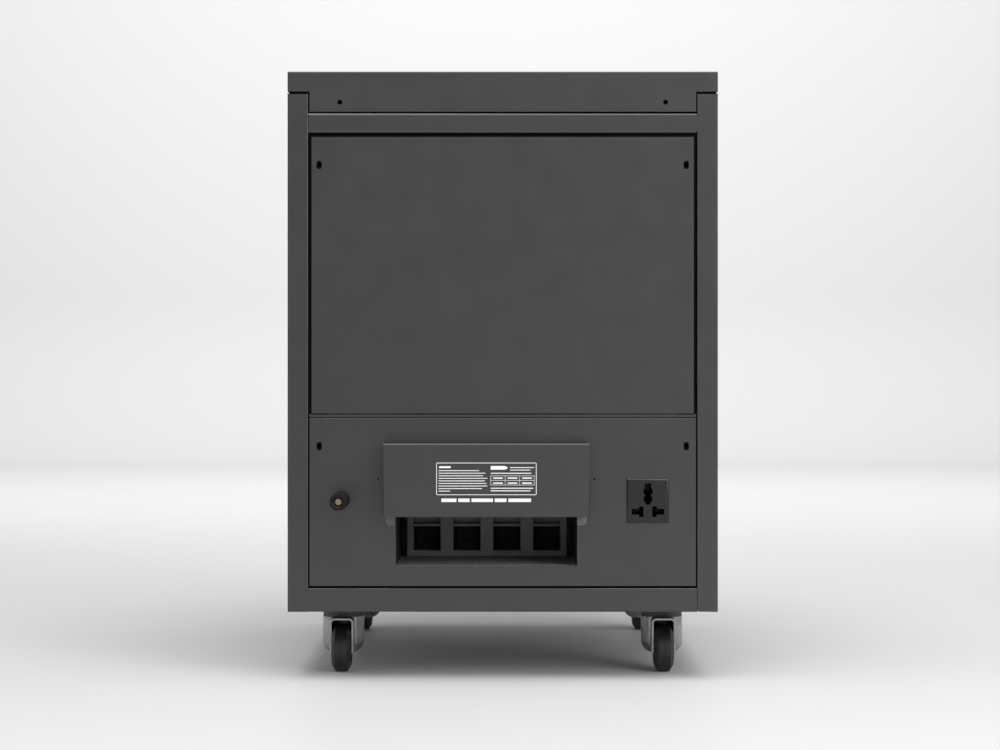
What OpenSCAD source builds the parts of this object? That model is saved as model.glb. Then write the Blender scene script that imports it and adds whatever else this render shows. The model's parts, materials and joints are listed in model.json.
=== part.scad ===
// Floor-standing power cabinet on four castors: a sheet-steel frame with removable panels. The rear has a
// lift-up terminal cover, an earth post and an AC outlet. A motor-driven regulating transformer is inside.
// Millimetres, +Z up. The rear face looks along -Y and the floor is at z = 0.

/* [Cabinet] */
// Width over the corner posts and the lid
cab_w = 450; // [410:1:600]
// Depth from the rear face of the posts to the front face
cab_d = 540; // [500:1:700]
// Height of the body, from its underside to the top of the lid
cab_h = 565; // [540:1:760]
// Height of the underside above the floor
castor_h = 72; // [72:1:80]
// Thickness of the folded steel sheet
sheet = 1.5; // [1:0.1:2]
// Side of the square corner posts
post_w = 21.5; // [18:0.5:26]
// Width of the flanges on the posts that the panels screw to
flange_w = 18; // [16:0.5:22]
// Height of the lower rails
bottom_rail_h = 24.6; // [20:0.2:32]
// Height of the upper rails
top_rail_h = 20.8; // [16:0.2:30]
// Thickness of the floor plate
floor_t = 3; // [2:0.5:5]

/* [Lid] */
// Height of the skirt of the lid at the corners
lid_skirt_h = 21; // [16:0.5:30]
// Height of the lid with the lips that hang between the posts
lid_lip_h = 42; // [36:0.5:60]
// Gap under the skirt over each post
lid_post_gap = 2.2; // [1:0.1:4]
// Gap under the lips
lip_gap = 1.2; // [0.6:0.1:3]
// Diameter of the two fixing holes in each end lip
lip_hole_d = 5.2; // [3:0.1:6.4]
// Distance of those holes from the inside of the post
lip_hole_in = 33.2; // [15:0.1:60]

/* [Panels] */
// How far the panels lie behind the frame
panel_recess = 1; // [0.5:0.1:3]
// Gap at each side of the lower rear panel, the front panel and the side panels
panel_gap = 1.2; // [0.6:0.1:2.4]
// Gap at each side of the upper rear panel
upper_panel_gap = 3.3; // [1:0.1:4]
// Gap over the panels
panel_top_gap = 4.2; // [1:0.1:6]
// Gap under the panels
panel_bottom_gap = 2.2; // [1:0.1:4]
// Height of the lower rear panel
lower_panel_h = 175.8; // [170:0.2:200]
// Gap between the two rear panels
seam_gap = 4.7; // [1:0.1:6]
// Width of the slotted screw holes
slot_w = 5.5; // [4.4:0.1:6]
// Length of the slotted screw holes
slot_l = 8.8; // [7:0.1:10]
// Distance of the panel screws from the inside of the post
screw_in = 11.5; // [9:0.1:12]
// Drop of the upper screws below the top of the panels
screw_drop = 29.3; // [20:0.1:40]
// Thread diameter of the panel screws
screw_d = 4; // [3:0.5:4]

/* [Louvres] */
// Length of one louvre slot
louvre_l = 52; // [30:1:58]
// Height of one louvre slot
louvre_h = 3; // [2:0.1:3.6]
// Rise from one louvre to the next
louvre_pitch = 13; // [9:0.5:20]
// Louvres in one column
louvre_rows = 9; // [3:1:10]

/* [Cable entry] */
// Width of the cable entry
entry_w = 190; // [190:1:200]
// Height of the cable entry
entry_h = 105; // [90:1:110]
// Height of its sill above the underside
entry_sill = 47.8; // [36:0.2:56]
// Sideways offset of its centre from the middle of the cabinet
entry_x = -17.2; // [-30:0.1:10]
// Depth from the panel to the terminal block
entry_depth = 122; // [80:1:130]

/* [Terminal block] */
// Number of poles
poles = 4; // [3:1:4]
// Distance from one pole to the next
pole_pitch = 44; // [42:0.5:44]
// Width of each wire chamber
chamber_w = 29.6; // [24:0.2:32]
// Height of each wire chamber
chamber_h = 26.4; // [18:0.2:28]
// Height of the chamber floor above the foot of the block
chamber_sill = 6.6; // [4:0.2:9]
// Depth of each wire chamber
chamber_depth = 34; // [24:1:38]
// Height of the block
block_h = 62; // [56:1:66]
// Depth of the block
block_d = 44; // [42:1:50]
// Thickness of the end walls of the block
block_end = 7.4; // [4:0.2:9]

/* [Terminal cover] */
// Width of the cover
cover_w = 214; // [211:1:216]
// Height of the cover
cover_h = 75.9; // [70:0.1:82]
// Height of its lower edge above the underside
cover_z = 100.6; // [98:0.2:104]
// How far its face stands out from the panel
cover_reach = 22; // [18:0.5:30]
// Diameter of its hinge pin
pin_d = 2.5; // [2:0.1:3]
// Distance of the hinge pin from the panel
pin_out = 7; // [7:0.1:8]
// Width of the plated brackets behind the cover
bracket_w = 10; // [8:0.1:10]
// Drop of the brackets below the cover
bracket_drop = 10.2; // [6:0.2:16]

/* [Earth post] */
// Distance of the post from the inside of the corner post
earth_in = 34.7; // [26:0.1:36]
// Height of the post above the underside
earth_z = 117.4; // [90:0.2:150]
// How far the knob stands out from the panel
earth_reach = 48.6; // [40:0.2:60]
// Diameter of the knob
knob_d = 17.6; // [14:0.2:20]
// Diameter of the brass stud
stud_d = 7.8; // [6:0.1:8]
// Length of the insulating collar
collar_l = 6; // [4:0.2:10]

/* [Outlet] */
// Width of the outlet
outlet_w = 44; // [44:0.5:48]
// Height of the outlet
outlet_h = 46; // [45:0.5:50]
// Thickness of the outlet's face plate
outlet_t = 3; // [2:0.2:4]
// Distance of its centre from the inside of the corner post
outlet_in = 51.8; // [40:0.1:58]
// Height of its centre above the underside
outlet_z = 116.4; // [90:0.2:140]
// Depth of the outlet behind the panel
outlet_depth = 24; // [20:1:30]

/* [Castors] */
// Diameter of the wheels
wheel_d = 50.8; // [46:0.1:51]
// Width of the wheels
wheel_w = 20.5; // [18:0.1:24]
// Width of the flat of the tread
tread_w = 13.5; // [10:0.1:16]
// Diameter of the axles
axle_d = 6; // [5:0.5:8]
// Distance from the swivel axis to the axle
trail = 25; // [20:0.5:27]
// Diameter of the fork's hood
hood_d = 44.8; // [40:0.2:46]
// Thickness of the fork
fork_t = 2; // [1.5:0.1:2.5]
// Diameter of the kingpins
kingpin_d = 8; // [6:0.5:10]
// Distance of the swivel axis from the side face
castor_in_x = 51.5; // [51.5:0.5:70]
// Distance of the swivel axis from the end faces
castor_in_y = 102; // [80:0.5:120]
// Side of the castor plates
castor_plate_w = 60; // [56:1:60]

/* [Front] */
// Width of the display opening
display_w = 120; // [80:1:140]
// Height of the display opening
display_h = 62; // [40:1:70]
// Drop of the display's centre below the top of the front panel
display_drop = 62; // [56:1:80]
// Diameter of the push buttons
button_d = 11; // [8:0.5:14]
// Travel of the push buttons
button_travel = 1.2; // [0.5:0.1:1.5]
// Width of the circuit breaker
breaker_w = 36; // [36:1:54]
// Height of the breaker's nose in the front panel
breaker_h = 46; // [44:1:50]

/* [Regulating transformer] */
// Outer diameter of the ring core
core_d = 236; // [180:2:250]
// Inner diameter of the ring core
core_bore = 120; // [100:2:130]
// Height of the ring core
core_h = 104; // [80:1:110]
// Thickness of the copper winding on the core
winding_t = 8; // [5:0.5:10]
// Sector of the ring left without turns, in degrees
winding_gap = 30; // [20:1:40]
// Diameter of the brush shaft
shaft_d = 12; // [10:0.5:16]

/* [Hidden] */

$fn = 64;
play = 0.3;           // running gap between parts that move past each other
pin_play = 0.05;      // radial clearance of a pin in its bore
hole_play = 0.2;      // radial clearance of a screw in a plain hole
seat = 0.05;          // gap where one piece rests on another of the same node
through = 1;          // how far a cutter reaches past the face it cuts
lap = 0.5;            // overlap of two shapes that are joined into one piece

// Heights
top_z = castor_h + cab_h;
lid_under = top_z - sheet;
skirt_z = top_z - lid_skirt_h;
lip_z = top_z - lid_lip_h;
post_top = skirt_z - lid_post_gap;
top_rail_top = lip_z - lip_gap;
top_rail_z = top_rail_top - top_rail_h;
bottom_rail_top = castor_h + bottom_rail_h;
panel_top = top_rail_z - panel_top_gap;
panel_z = bottom_rail_top + panel_bottom_gap;
lower_panel_top = panel_z + lower_panel_h;
upper_panel_z = lower_panel_top + seam_gap;
floor_top = castor_h + floor_t;
screw_top_z = panel_top - screw_drop;
screw_low_z = lower_panel_top - screw_drop;
stop_h = 12;
pip_z = castor_h + 138.9;
pip_d = 2;
louvre_in = 34;
louvre_space = 24;
front_louvre_space = 16;
half_columns = 2;                     // louvre columns at each side of the middle one
lip_hole_rise = 10;
pip_out = 6;

// Plan: the part is centred over its own bounding box, knob and breaker lever included
lever_reach = 8;
half_w = cab_w / 2;
inner_x = half_w - post_w;
rear_reach = earth_reach - panel_recess;
y_rear = -(cab_d + lever_reach - rear_reach) / 2;
y_front = y_rear + cab_d;
y_mid = (y_rear + y_front) / 2;
rear_in = y_rear + post_w;
front_in = y_front - post_w;
rear_skin = y_rear + panel_recess;
rear_back = rear_skin + sheet;
front_skin = y_front - panel_recess;
front_back = front_skin - sheet;
side_skin = half_w - panel_recess;
side_back = side_skin - sheet;
screw_x = inner_x - screw_in;
rear_screw_y = rear_in + screw_in;
front_screw_y = front_in - screw_in;

// Shelf
shelf_t = 3;
shelf_top = lower_panel_top + shelf_t;
shelf_rail_h = 15;
shelf_rail_w = 15;
shelf_lip = 24;
shelf_rise = 10;
wire_hole_d = 50;
shelf_y0 = rear_back + sheet;
shelf_y1 = front_back - sheet;
flange_gap = 1;
corner_gap = 4;
nose_gap = 0.9;
nose_x = inner_x - panel_gap;

// Cable entry
sill_z = castor_h + entry_sill;
entry_top = sill_z + entry_h;
block_y = rear_skin + entry_depth;
tray_y1 = block_y + block_d;
block_w = (poles - 1) * pole_pitch + chamber_w + 2 * block_end;
bay_web = 3;
bay_z = sill_z + chamber_sill + chamber_h + bay_web;
bay_d = 14;
clamp_in = 22;
clamp_side = 3.8;
clamp_bore = 10;
screw_head_d = 9;
screw_head_t = 2.5;
clamp_screw_d = 5;
clamp_screw_l = 16;
clamp_screw_end = 4;
driver_slot_w = 1.2;
driver_slot_l = 10;

// Terminal cover
cover_low = castor_h + cover_z;
cover_top = cover_low + cover_h;
cover_rise = 4.5;                     // from the hinge axis up to the top of the cover
cover_back = 5;                       // from the hinge axis back to the rear edge of the cover
pin_y = rear_skin - pin_out;
pin_z = cover_top - cover_rise;
cover_y = rear_skin - cover_reach;
bracket_x = entry_w / 2 + bracket_w;  // outer edge of each bracket, from the middle of the entry
bracket_r = 5;
ear_r = 2.7;
ear_drop = 13;
ear_web = 4;
ear_back = 1.6;
cheek_step = 12;
cheek_taper = 2;

// Earth post
earth_x = -(inner_x - earth_in);
earth_h = castor_h + earth_z;
washer_t = 1.6;
washer_d = 15;
stud_recess = 5;
collar_front = rear_skin - collar_l;
washer_front = collar_front - play - washer_t;
knob_back = washer_front - play;
knob_front = rear_skin - earth_reach;
nut_af = 13;
nut_t = 5;
stud_end = 5;
waist_depth = 2.2;
waist_front = 9;
waist_back = 6;

// Outlet
outlet_x = inner_x - outlet_in;
outlet_mid = castor_h + outlet_z;
outlet_neck = 3;                      // how much smaller the body is than the face plate, each side
pocket_depth = 20;
shutter_t = 2;
shutter_in = 1;
neck_play = 0.2;
earth_slot_w = 6.4;
earth_slot_h = 9;
earth_slot_z = 9;
upper_lobe_z = 9.6;
lower_lobe_z = 1.7;
upper_lobe_r = 4.7;
lower_lobe_r = 4.5;
tail_w = 4;
tail_h = 4;
tail_z = -4.1;
line_in = 4.8;
line_slot_w = 12;
line_slot_h = 5.8;
line_slot_z = -14.4;
cross_slot_w = 4.4;
cross_slot_h = 10.8;
cross_slot_z = -17;

// Castors
castor_x = half_w - castor_in_x;
castor_y0 = y_rear + castor_in_y;
castor_y1 = y_front - castor_in_y;
plate_t = 3;
plate_hole_in = 7.5;
plate_bolt_d = 6;
fork_gap = wheel_w + 1;
fork_top = wheel_d + 6.6;
crown = fork_top - fork_t;
hood_low = wheel_d / 2 - 7.4;
hood_r = 12;
leg_low = wheel_d / 2 - 5.4;
leg_front = 8;
leg_r = 5;
cup_d = hood_d - 0.8;
axle_head = 1;
axle_head_d = axle_d + 2;
kingpin_head_d = kingpin_d + 6;
kingpin_head_t = 2;

// Front
bezel_t = 3;
bezel_rim = 10;
lens_t = 2;
lens_sink = 0.4;
lens_play = 0.1;
bezel_neck = 4;
bezel_lip = 5;
bezel_step = 2;
button_drop = 17;
display_z = panel_top - display_drop;
button_z = display_z - display_h / 2 - bezel_rim - button_drop;
button_x = 28;
button_proud = 3;
button_flange = 2;
button_rim = 2;
board_gap = 16;
board_y = front_back - board_gap;
board_drop = 6;
board_hole_in = 6;
board_hole_d = 3.2;
switch_w = 8;
switch_gap = 0.2;
board_w = 150;
board_h = 112;
board_t = 1.6;
standoff_d = 6;
breaker_x = 128;
breaker_z = display_z;
breaker_depth = 66;
breaker_body_h = 82;
nose_proud = 2;
lever_r = 6;
lever_w = 14;
lever_t = 5;
lever_tilt = 35;
lever_pin_d = 3;
lever_pin_end = 3;
lever_pin_in = 4;
lever_y = front_skin + nose_proud - lever_r - play;
lever_slot_h = 18;

// Main transformer in the lower bay
stack_w = 200;
stack_h = 150;
stack_d = 84;
limb_w = 40;
coil_t = 26;
coil_gap = 2;
stack_back = 64.8;                    // from the middle of the cabinet to the middle of the stack
stack_y = y_mid + stack_back;
transformer_bolt_x = 116;
foot_end = 9;
foot_w = 2 * (transformer_bolt_x + foot_end);
foot_t = 4;
foot_d = 16;
foot_y = stack_y - stack_d / 2 + foot_d / 2;

// Regulating transformer in the upper bay
ring_foot = 10;
core_w = (core_d - core_bore) / 2;
ring_z = shelf_top + ring_foot + winding_t;
ring_top = ring_z + core_h + winding_t;
track_z = ring_top + play;
brush_h = 10;
arm_t = 8;
arm_w = 22;
arm_z = track_z + brush_h;
hub_d = 30;
arm_end = 14;
brush_w = 16;
brush_l = 24;
column_gap = 1;
column_d = core_bore - 2 * winding_t - 2 * column_gap;
column_wall = 5;
column_floor = 8;
column_drop = 4;
ring_foot_in = 10;
bridge_rise = 26;
bridge_z = arm_z + arm_t + bridge_rise;
bridge_t = 4;
bridge_w = 60;
bridge_gap = 12;
bridge_x = core_d / 2 + winding_t + bridge_gap;
bridge_foot = 13;
bridge_hole_d = 20;
motor_d = 58;
motor_h = 58;
motor_shaft_d = 8;
motor_shaft_in = 20;
motor_bore = 23;
gear_w = 68;
gear_d = 60;
gear_h = 26;
shaft_low = ring_z;
shaft_in = 6;
coupling_gap = 4;
coupling_d = 24;
coupling_h = 16;

// Fasteners
screw_l = 7;
screw_slot = 1;
bolt_af = 10;
bolt_head_h = 4;
plate_bolt_l = 12;
transformer_bolt_l = 14;

// Colours
grey = [0.27, 0.27, 0.275];
inner_grey = [0.2, 0.2, 0.205];
zinc = [0.62, 0.63, 0.64];
black = [0.08, 0.08, 0.085];
brass = [0.72, 0.58, 0.32];
copper = [0.72, 0.42, 0.24];

// ---------- helpers ----------

// Puts a child, drawn from the outer rear-left corner of the underside, at one of the four corners.
module at_corner(right, front) {
    translate([right * half_w, front > 0 ? y_front : y_rear, castor_h])
        mirror([right > 0 ? 1 : 0, 0, 0])
            mirror([0, front > 0 ? 1 : 0, 0])
                children();
}

// A box given by its two opposite corners.
module span(low, high) {
    translate(low) cube(high - low);
}

// A cylinder along +Y.
module rod_y(x, y, z, d, length) {
    translate([x, y, z]) rotate([-90, 0, 0]) cylinder(d = d, h = length);
}

// A cylinder along +X.
module rod_x(x, y, z, d, length) {
    translate([x, y, z]) rotate([0, 90, 0]) cylinder(d = d, h = length);
}

// A rectangular tube, open at both ends, along X or Y.
module tube(low, high, axis) {
    wall = [axis == 0 ? -through : sheet, axis == 1 ? -through : sheet, sheet];
    difference() {
        span(low, high);
        span(low + wall, high - wall);
    }
}

// An upright slotted hole through a panel at a rear or front face.
module slot_y(x, y, z) {
    rise = (slot_l - slot_w) / 2;
    rod_y(x, y, z - rise, slot_w, sheet + 2 * through);
    rod_y(x, y, z + rise, slot_w, sheet + 2 * through);
    span([x - slot_w / 2, y, z - rise], [x + slot_w / 2, y + sheet + 2 * through, z + rise]);
}

// ---------- frame ----------

module post_tube() {
    difference() {
        square(post_w);
        translate([sheet, sheet]) square(post_w - 2 * sheet);
    }
}

// The flanges stand behind the panels, one for the end panel and one for the side panel.
module post_flanges() {
    translate([post_w - lap, panel_recess + sheet]) square([flange_w + lap, sheet]);
    translate([panel_recess + sheet, post_w - lap]) square([sheet, flange_w + lap]);
}

module post() {
    tenon_in = sheet + play;
    shoulder = post_top - castor_h;
    color(grey) difference() {
        union() {
            linear_extrude(shoulder) post_tube();
            cube([post_w, post_w, sheet]);
            translate([0, 0, bottom_rail_h]) linear_extrude(top_rail_z - bottom_rail_top) post_flanges();
            translate([tenon_in, tenon_in, shoulder - 2 * sheet])
                cube([post_w - tenon_in, post_w - tenon_in, lid_under - post_top + 2 * sheet]);
        }
        for (z = [screw_low_z, screw_top_z]) {
            rod_y(post_w + screw_in, panel_recess, z - castor_h, screw_d - 0.7, 4 * sheet);
            rod_x(panel_recess, post_w + screw_in, z - castor_h, screw_d - 0.7, 4 * sheet);
        }
    }
}

module post_rear_left() { at_corner(-1, -1) post(); }
module post_rear_right() { at_corner(1, -1) post(); }
module post_front_left() { at_corner(-1, 1) post(); }
module post_front_right() { at_corner(1, 1) post(); }

// Strips behind the edges of the four panels, between two heights.
module panel_stops(z0, z1) {
    x = inner_x - flange_w - play;
    y0 = rear_in + flange_w + play;
    y1 = front_in - flange_w - play;
    span([-x, rear_back, z0], [x, rear_back + sheet, z1]);
    span([-x, front_back - sheet, z0], [x, front_back, z1]);
    span([-side_back, y0, z0], [-side_back + sheet, y1, z1]);
    span([side_back - sheet, y0, z0], [side_back, y1, z1]);
}

// Four rails between the posts, between two heights.
module rails(z0, z1) {
    tube([-inner_x, y_rear, z0], [inner_x, rear_in, z1], 0);
    tube([-inner_x, front_in, z0], [inner_x, y_front, z1], 0);
    tube([-half_w, rear_in, z0], [-inner_x, front_in, z1], 1);
    tube([inner_x, rear_in, z0], [half_w, front_in, z1], 1);
}

module bottom_rails() {
    color(grey) {
        rails(castor_h, bottom_rail_top);
        panel_stops(bottom_rail_top - lap, bottom_rail_top + stop_h);
    }
}

module top_rails() {
    color(grey) {
        rails(top_rail_z, top_rail_top);
        panel_stops(top_rail_z - stop_h, top_rail_z + lap);
    }
}

module castor_centres() {
    for (x = [-castor_x, castor_x]) {
        for (y = [castor_y0, castor_y1]) {
            translate([x, y, 0]) children();
        }
    }
}

module plate_holes(z0, z1, d) {
    reach = castor_plate_w / 2 - plate_hole_in;
    for (x = [-reach, reach]) {
        for (y = [-reach, reach]) {
            translate([x, y, z0]) cylinder(d = d, h = z1 - z0);
        }
    }
}

module transformer_holes(z0, z1, d) {
    for (x = [-transformer_bolt_x, transformer_bolt_x]) {
        for (y = [foot_y, 2 * stack_y - foot_y]) {
            translate([x, y, z0]) cylinder(d = d, h = z1 - z0);
        }
    }
}

module base_plate() {
    color(grey) difference() {
        span([-inner_x, rear_in, castor_h], [inner_x, front_in, floor_top]);
        castor_centres() plate_holes(castor_h - through, floor_top + through, plate_bolt_d + 2 * hole_play);
        transformer_holes(castor_h - through, floor_top + through, plate_bolt_d + 2 * hole_play);
    }
}

module lid() {
    lip_x = inner_x - lip_gap;
    lip_y0 = rear_in + lip_gap;
    lip_y1 = front_in - lip_gap;
    color(grey) difference() {
        union() {
            span([-half_w, y_rear, skirt_z], [half_w, y_front, top_z]);
            span([-lip_x, y_rear, lip_z], [lip_x, y_front, skirt_z + through]);
            span([-half_w, lip_y0, lip_z], [half_w, lip_y1, skirt_z + through]);
        }
        span([-half_w + sheet, y_rear + sheet, lip_z - through],
            [half_w - sheet, y_front - sheet, lid_under]);
        for (x = [-1, 1]) {
            rod_y(x * (inner_x - lip_hole_in), y_rear - through, lip_z + lip_hole_rise, lip_hole_d,
                cab_d + 2 * through);
        }
    }
}

// ---------- panels ----------

module rear_upper_panel() {
    x = inner_x - upper_panel_gap;
    color(grey) difference() {
        span([-x, rear_skin, upper_panel_z], [x, rear_back, panel_top]);
        for (side = [-1, 1]) {
            slot_y(side * screw_x, rear_skin - through, screw_top_z);
        }
    }
}

module rear_lower_panel() {
    x = inner_x - panel_gap;
    color(grey) difference() {
        span([-x, rear_skin, panel_z], [x, rear_back, lower_panel_top]);
        for (side = [-1, 1]) {
            slot_y(side * screw_x, rear_skin - through, screw_low_z);
            rod_y(entry_x + side * (cover_w / 2 + pip_out), rear_skin - through, pip_z, pip_d, 4 * sheet);
        }
        span([entry_x - entry_w / 2, rear_skin - through, sill_z],
            [entry_x + entry_w / 2, rear_back + through, entry_top]);
        outlet_block(rear_skin - through, rear_back + through, outlet_neck - neck_play);
        rod_y(earth_x, rear_skin - through, earth_h, stud_d + 2 * hole_play, 4 * sheet);
    }
}

// One column of louvre slots through a sheet that lies on the XZ plane, towards +Y.
module louvre_column() {
    for (row = [0 : louvre_rows - 1]) {
        translate([-louvre_l / 2, -through, row * louvre_pitch])
            cube([louvre_l, sheet + 2 * through, louvre_h]);
    }
}

module side_panel() {
    y0 = rear_in + panel_gap;
    y1 = front_in - panel_gap;
    low_z = panel_z + louvre_in;
    high_z = panel_top - louvre_in - (louvre_rows - 1) * louvre_pitch;
    difference() {
        span([side_back, y0, panel_z], [side_skin, y1, panel_top]);
        for (column = [-half_columns : half_columns]) {
            for (z = [low_z, high_z]) {
                translate([side_skin, y_mid + column * (louvre_l + louvre_space), z])
                    rotate([0, 0, 90]) louvre_column();
            }
        }
        for (y = [rear_screw_y, front_screw_y]) {
            for (z = [screw_low_z, screw_top_z]) {
                rod_x(side_back - through, y, z, screw_d + 2 * hole_play, sheet + 2 * through);
            }
        }
    }
}

module side_panel_right() { color(grey) side_panel(); }

module side_panel_left() { color(grey) mirror([1, 0, 0]) side_panel(); }

module front_panel() {
    x = inner_x - panel_gap;
    color(grey) difference() {
        span([-x, front_back, panel_z], [x, front_skin, panel_top]);
        span([-display_w / 2, front_back - through, display_z - display_h / 2],
            [display_w / 2, front_skin + through, display_z + display_h / 2]);
        span([breaker_x - breaker_w / 2 - play, front_back - through, breaker_z - breaker_h / 2 - play],
            [breaker_x + breaker_w / 2 + play, front_skin + through, breaker_z + breaker_h / 2 + play]);
        for (side = [-1, 1]) {
            rod_y(side * button_x, front_back - through, button_z, button_d + 2 * play,
                sheet + 2 * through);
            for (z = [screw_low_z, screw_top_z]) {
                rod_y(side * screw_x, front_back - through, z, screw_d + 2 * hole_play,
                    sheet + 2 * through);
            }
        }
        for (column = [-half_columns : half_columns]) {
            translate([column * (louvre_l + front_louvre_space), front_back, panel_z + louvre_in])
                louvre_column();
        }
    }
}

// ---------- shelf ----------

// A quarter-round notch for the flanges of a post, which leaves the nose in front of them.
module shelf_corner(y0) {
    intersection() {
        cylinder(r = flange_w + corner_gap, h = shelf_lip + through);
        translate([-shelf_lip, y0, 0]) cube([2 * shelf_lip, 2 * shelf_lip, 2 * shelf_lip]);
    }
}

module shelf() {
    x = inner_x - flange_w - flange_gap;
    shelf_low = shelf_top - shelf_lip;
    color(inner_grey) difference() {
        union() {
            span([-side_back + sheet, rear_in + flange_gap, shelf_top - shelf_t],
                [side_back - sheet, front_in - flange_gap, shelf_top]);
            span([-x, shelf_y0, shelf_top - shelf_t], [x, rear_in + flange_gap + lap, shelf_top]);
            span([-x, front_in - flange_gap - lap, shelf_top - shelf_t], [x, shelf_y1, shelf_top]);
            span([-x, shelf_y0, shelf_low], [x, shelf_y0 + sheet, shelf_top + shelf_rise]);
            span([-x, shelf_y1 - sheet, shelf_low], [x, shelf_y1, shelf_top + shelf_rise]);
            span([-x, rear_back - lap, lower_panel_top + nose_gap],
                [x, shelf_y0 + sheet, upper_panel_z - nose_gap]);
            span([-nose_x, rear_skin + play, lower_panel_top + nose_gap],
                [nose_x, rear_back, upper_panel_z - nose_gap]);
        }
        translate([0, y_mid, shelf_low]) cylinder(d = wire_hole_d, h = shelf_lip + through);
        for (x = [-inner_x, inner_x]) {
            translate([x, rear_in, shelf_low]) shelf_corner(rear_back - rear_in);
            translate([x, front_in, shelf_low]) mirror([0, 1, 0]) shelf_corner(rear_back - rear_in);
        }
    }
}

module shelf_rails() {
    z1 = shelf_top - shelf_t;
    color(inner_grey) {
        tube([-inner_x - shelf_rail_w, rear_in, z1 - shelf_rail_h], [-inner_x, front_in, z1], 1);
        tube([inner_x, rear_in, z1 - shelf_rail_h], [inner_x + shelf_rail_w, front_in, z1], 1);
    }
}

// ---------- terminal cover ----------

// Side outline of the cover's end cheeks, drawn as (outwards, up) from the hinge axis.
module cover_cheek() {
    polygon([[-cover_back, cover_rise], [-cover_back, -cheek_step],
        [-cover_back + cheek_taper, -cover_h + cover_rise],
        [cover_reach - pin_out, -cover_h + cover_rise], [cover_reach - pin_out, cover_rise]]);
}

// Puts a drawing in (outwards, up) at the hinge axis, as a plate of the given thickness from x.
module at_hinge(x, t) {
    translate([x, pin_y, pin_z]) rotate([90, 0, -90]) translate([0, 0, -t]) linear_extrude(t) children();
}

module terminal_cover() {
    x0 = entry_x - cover_w / 2;
    x1 = entry_x + cover_w / 2;
    color(grey) difference() {
        union() {
            span([x0, cover_y, cover_low], [x1, cover_y + sheet, cover_top]);
            span([x0, cover_y, cover_top - sheet], [x1, pin_y + cover_back, cover_top]);
            at_hinge(x0, sheet) cover_cheek();
            at_hinge(x1 - sheet, sheet) cover_cheek();
        }
        rod_x(x0 - through, pin_y, pin_z, pin_d + 2 * pin_play, cover_w + 2 * through);
    }
}

module cover_hinge_pin() {
    color(zinc) rod_x(entry_x - cover_w / 2, pin_y, pin_z, pin_d, cover_w);
}

// The ear reaches down from the pin and back to the bracket plate, clear of the swinging cover.
module bracket_ear() {
    foot = pin_out - sheet;
    difference() {
        union() {
            circle(r = ear_r);
            translate([-ear_back, -ear_drop]) square([ear_r + ear_back, ear_drop]);
            translate([-foot, -ear_drop]) square([foot + 1, ear_web]);
        }
        circle(d = pin_d);
    }
}

module cover_bracket() {
    z0 = cover_low - bracket_drop;
    z1 = pin_z - ear_drop + ear_web;
    difference() {
        span([-bracket_x, rear_skin - sheet, z0], [-entry_w / 2, rear_skin, z1]);
        translate([-bracket_x, rear_skin - sheet - through, z0])
            span([-through, 0, -through], [bracket_r, sheet + 2 * through, bracket_r]);
    }
    intersection() {
        rod_y(-bracket_x + bracket_r, rear_skin - sheet, z0 + bracket_r, 2 * bracket_r, sheet);
        span([-bracket_x, rear_skin - sheet, z0], [-bracket_x + bracket_r, rear_skin, z0 + bracket_r]);
    }
    at_hinge(-bracket_x, sheet) bracket_ear();
}

module cover_brackets() {
    color(zinc) translate([entry_x, 0, 0]) {
        cover_bracket();
        mirror([1, 0, 0]) cover_bracket();
    }
}

// ---------- cable tray and terminal block ----------

module cable_tray() {
    x0 = entry_x - entry_w / 2;
    x1 = entry_x + entry_w / 2;
    color(inner_grey) difference() {
        span([x0 - sheet, rear_back, sill_z - sheet], [x1 + sheet, tray_y1 + sheet, entry_top + sheet]);
        span([x0, rear_back - through, sill_z], [x1, tray_y1, entry_top]);
    }
}

module at_poles() {
    for (pole = [0 : poles - 1]) {
        translate([entry_x + (pole - (poles - 1) / 2) * pole_pitch, block_y, sill_z]) children();
    }
}

module terminal_block() {
    x0 = entry_x - block_w / 2;
    chamber_top = chamber_sill + chamber_h;
    color(black) difference() {
        span([x0, block_y, sill_z], [x0 + block_w, tray_y1, sill_z + block_h]);
        at_poles() {
            span([-chamber_w / 2, -through, chamber_sill], [chamber_w / 2, chamber_depth, chamber_top]);
            span([-chamber_w / 2, -through, bay_z - sill_z], [chamber_w / 2, bay_d, block_h + through]);
            rod_y(0, 0, (bay_z - sill_z + block_h) / 2, clamp_screw_d + 2 * hole_play,
                bay_d + clamp_screw_l + clamp_screw_end);
        }
    }
}

module terminal_clamps() {
    x = chamber_w / 2 - clamp_side;
    color(zinc) at_poles() {
        difference() {
            span([-x, clamp_in, chamber_sill], [x, chamber_depth, chamber_sill + chamber_h]);
            rod_y(0, clamp_in - through, chamber_sill + chamber_h / 2, clamp_bore, chamber_depth);
        }
    }
}

module terminal_screws() {
    z = (bay_z - sill_z + block_h) / 2;
    color(zinc) at_poles() {
        difference() {
            rod_y(0, bay_d - screw_head_t, z, screw_head_d, screw_head_t);
            translate([-driver_slot_l / 2, bay_d - screw_head_t - through, z - driver_slot_w / 2])
                cube([driver_slot_l, 2 * through, driver_slot_w]);
        }
        rod_y(0, bay_d, z, clamp_screw_d, clamp_screw_l);
    }
}

// ---------- outlet ----------

// The outlet's rectangle, made smaller on every side, between two depths.
module outlet_block(y0, y1, inset) {
    w = outlet_w / 2 - inset;
    h = outlet_h / 2 - inset;
    span([outlet_x - w, y0, outlet_mid - h], [outlet_x + w, y1, outlet_mid + h]);
}

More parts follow.
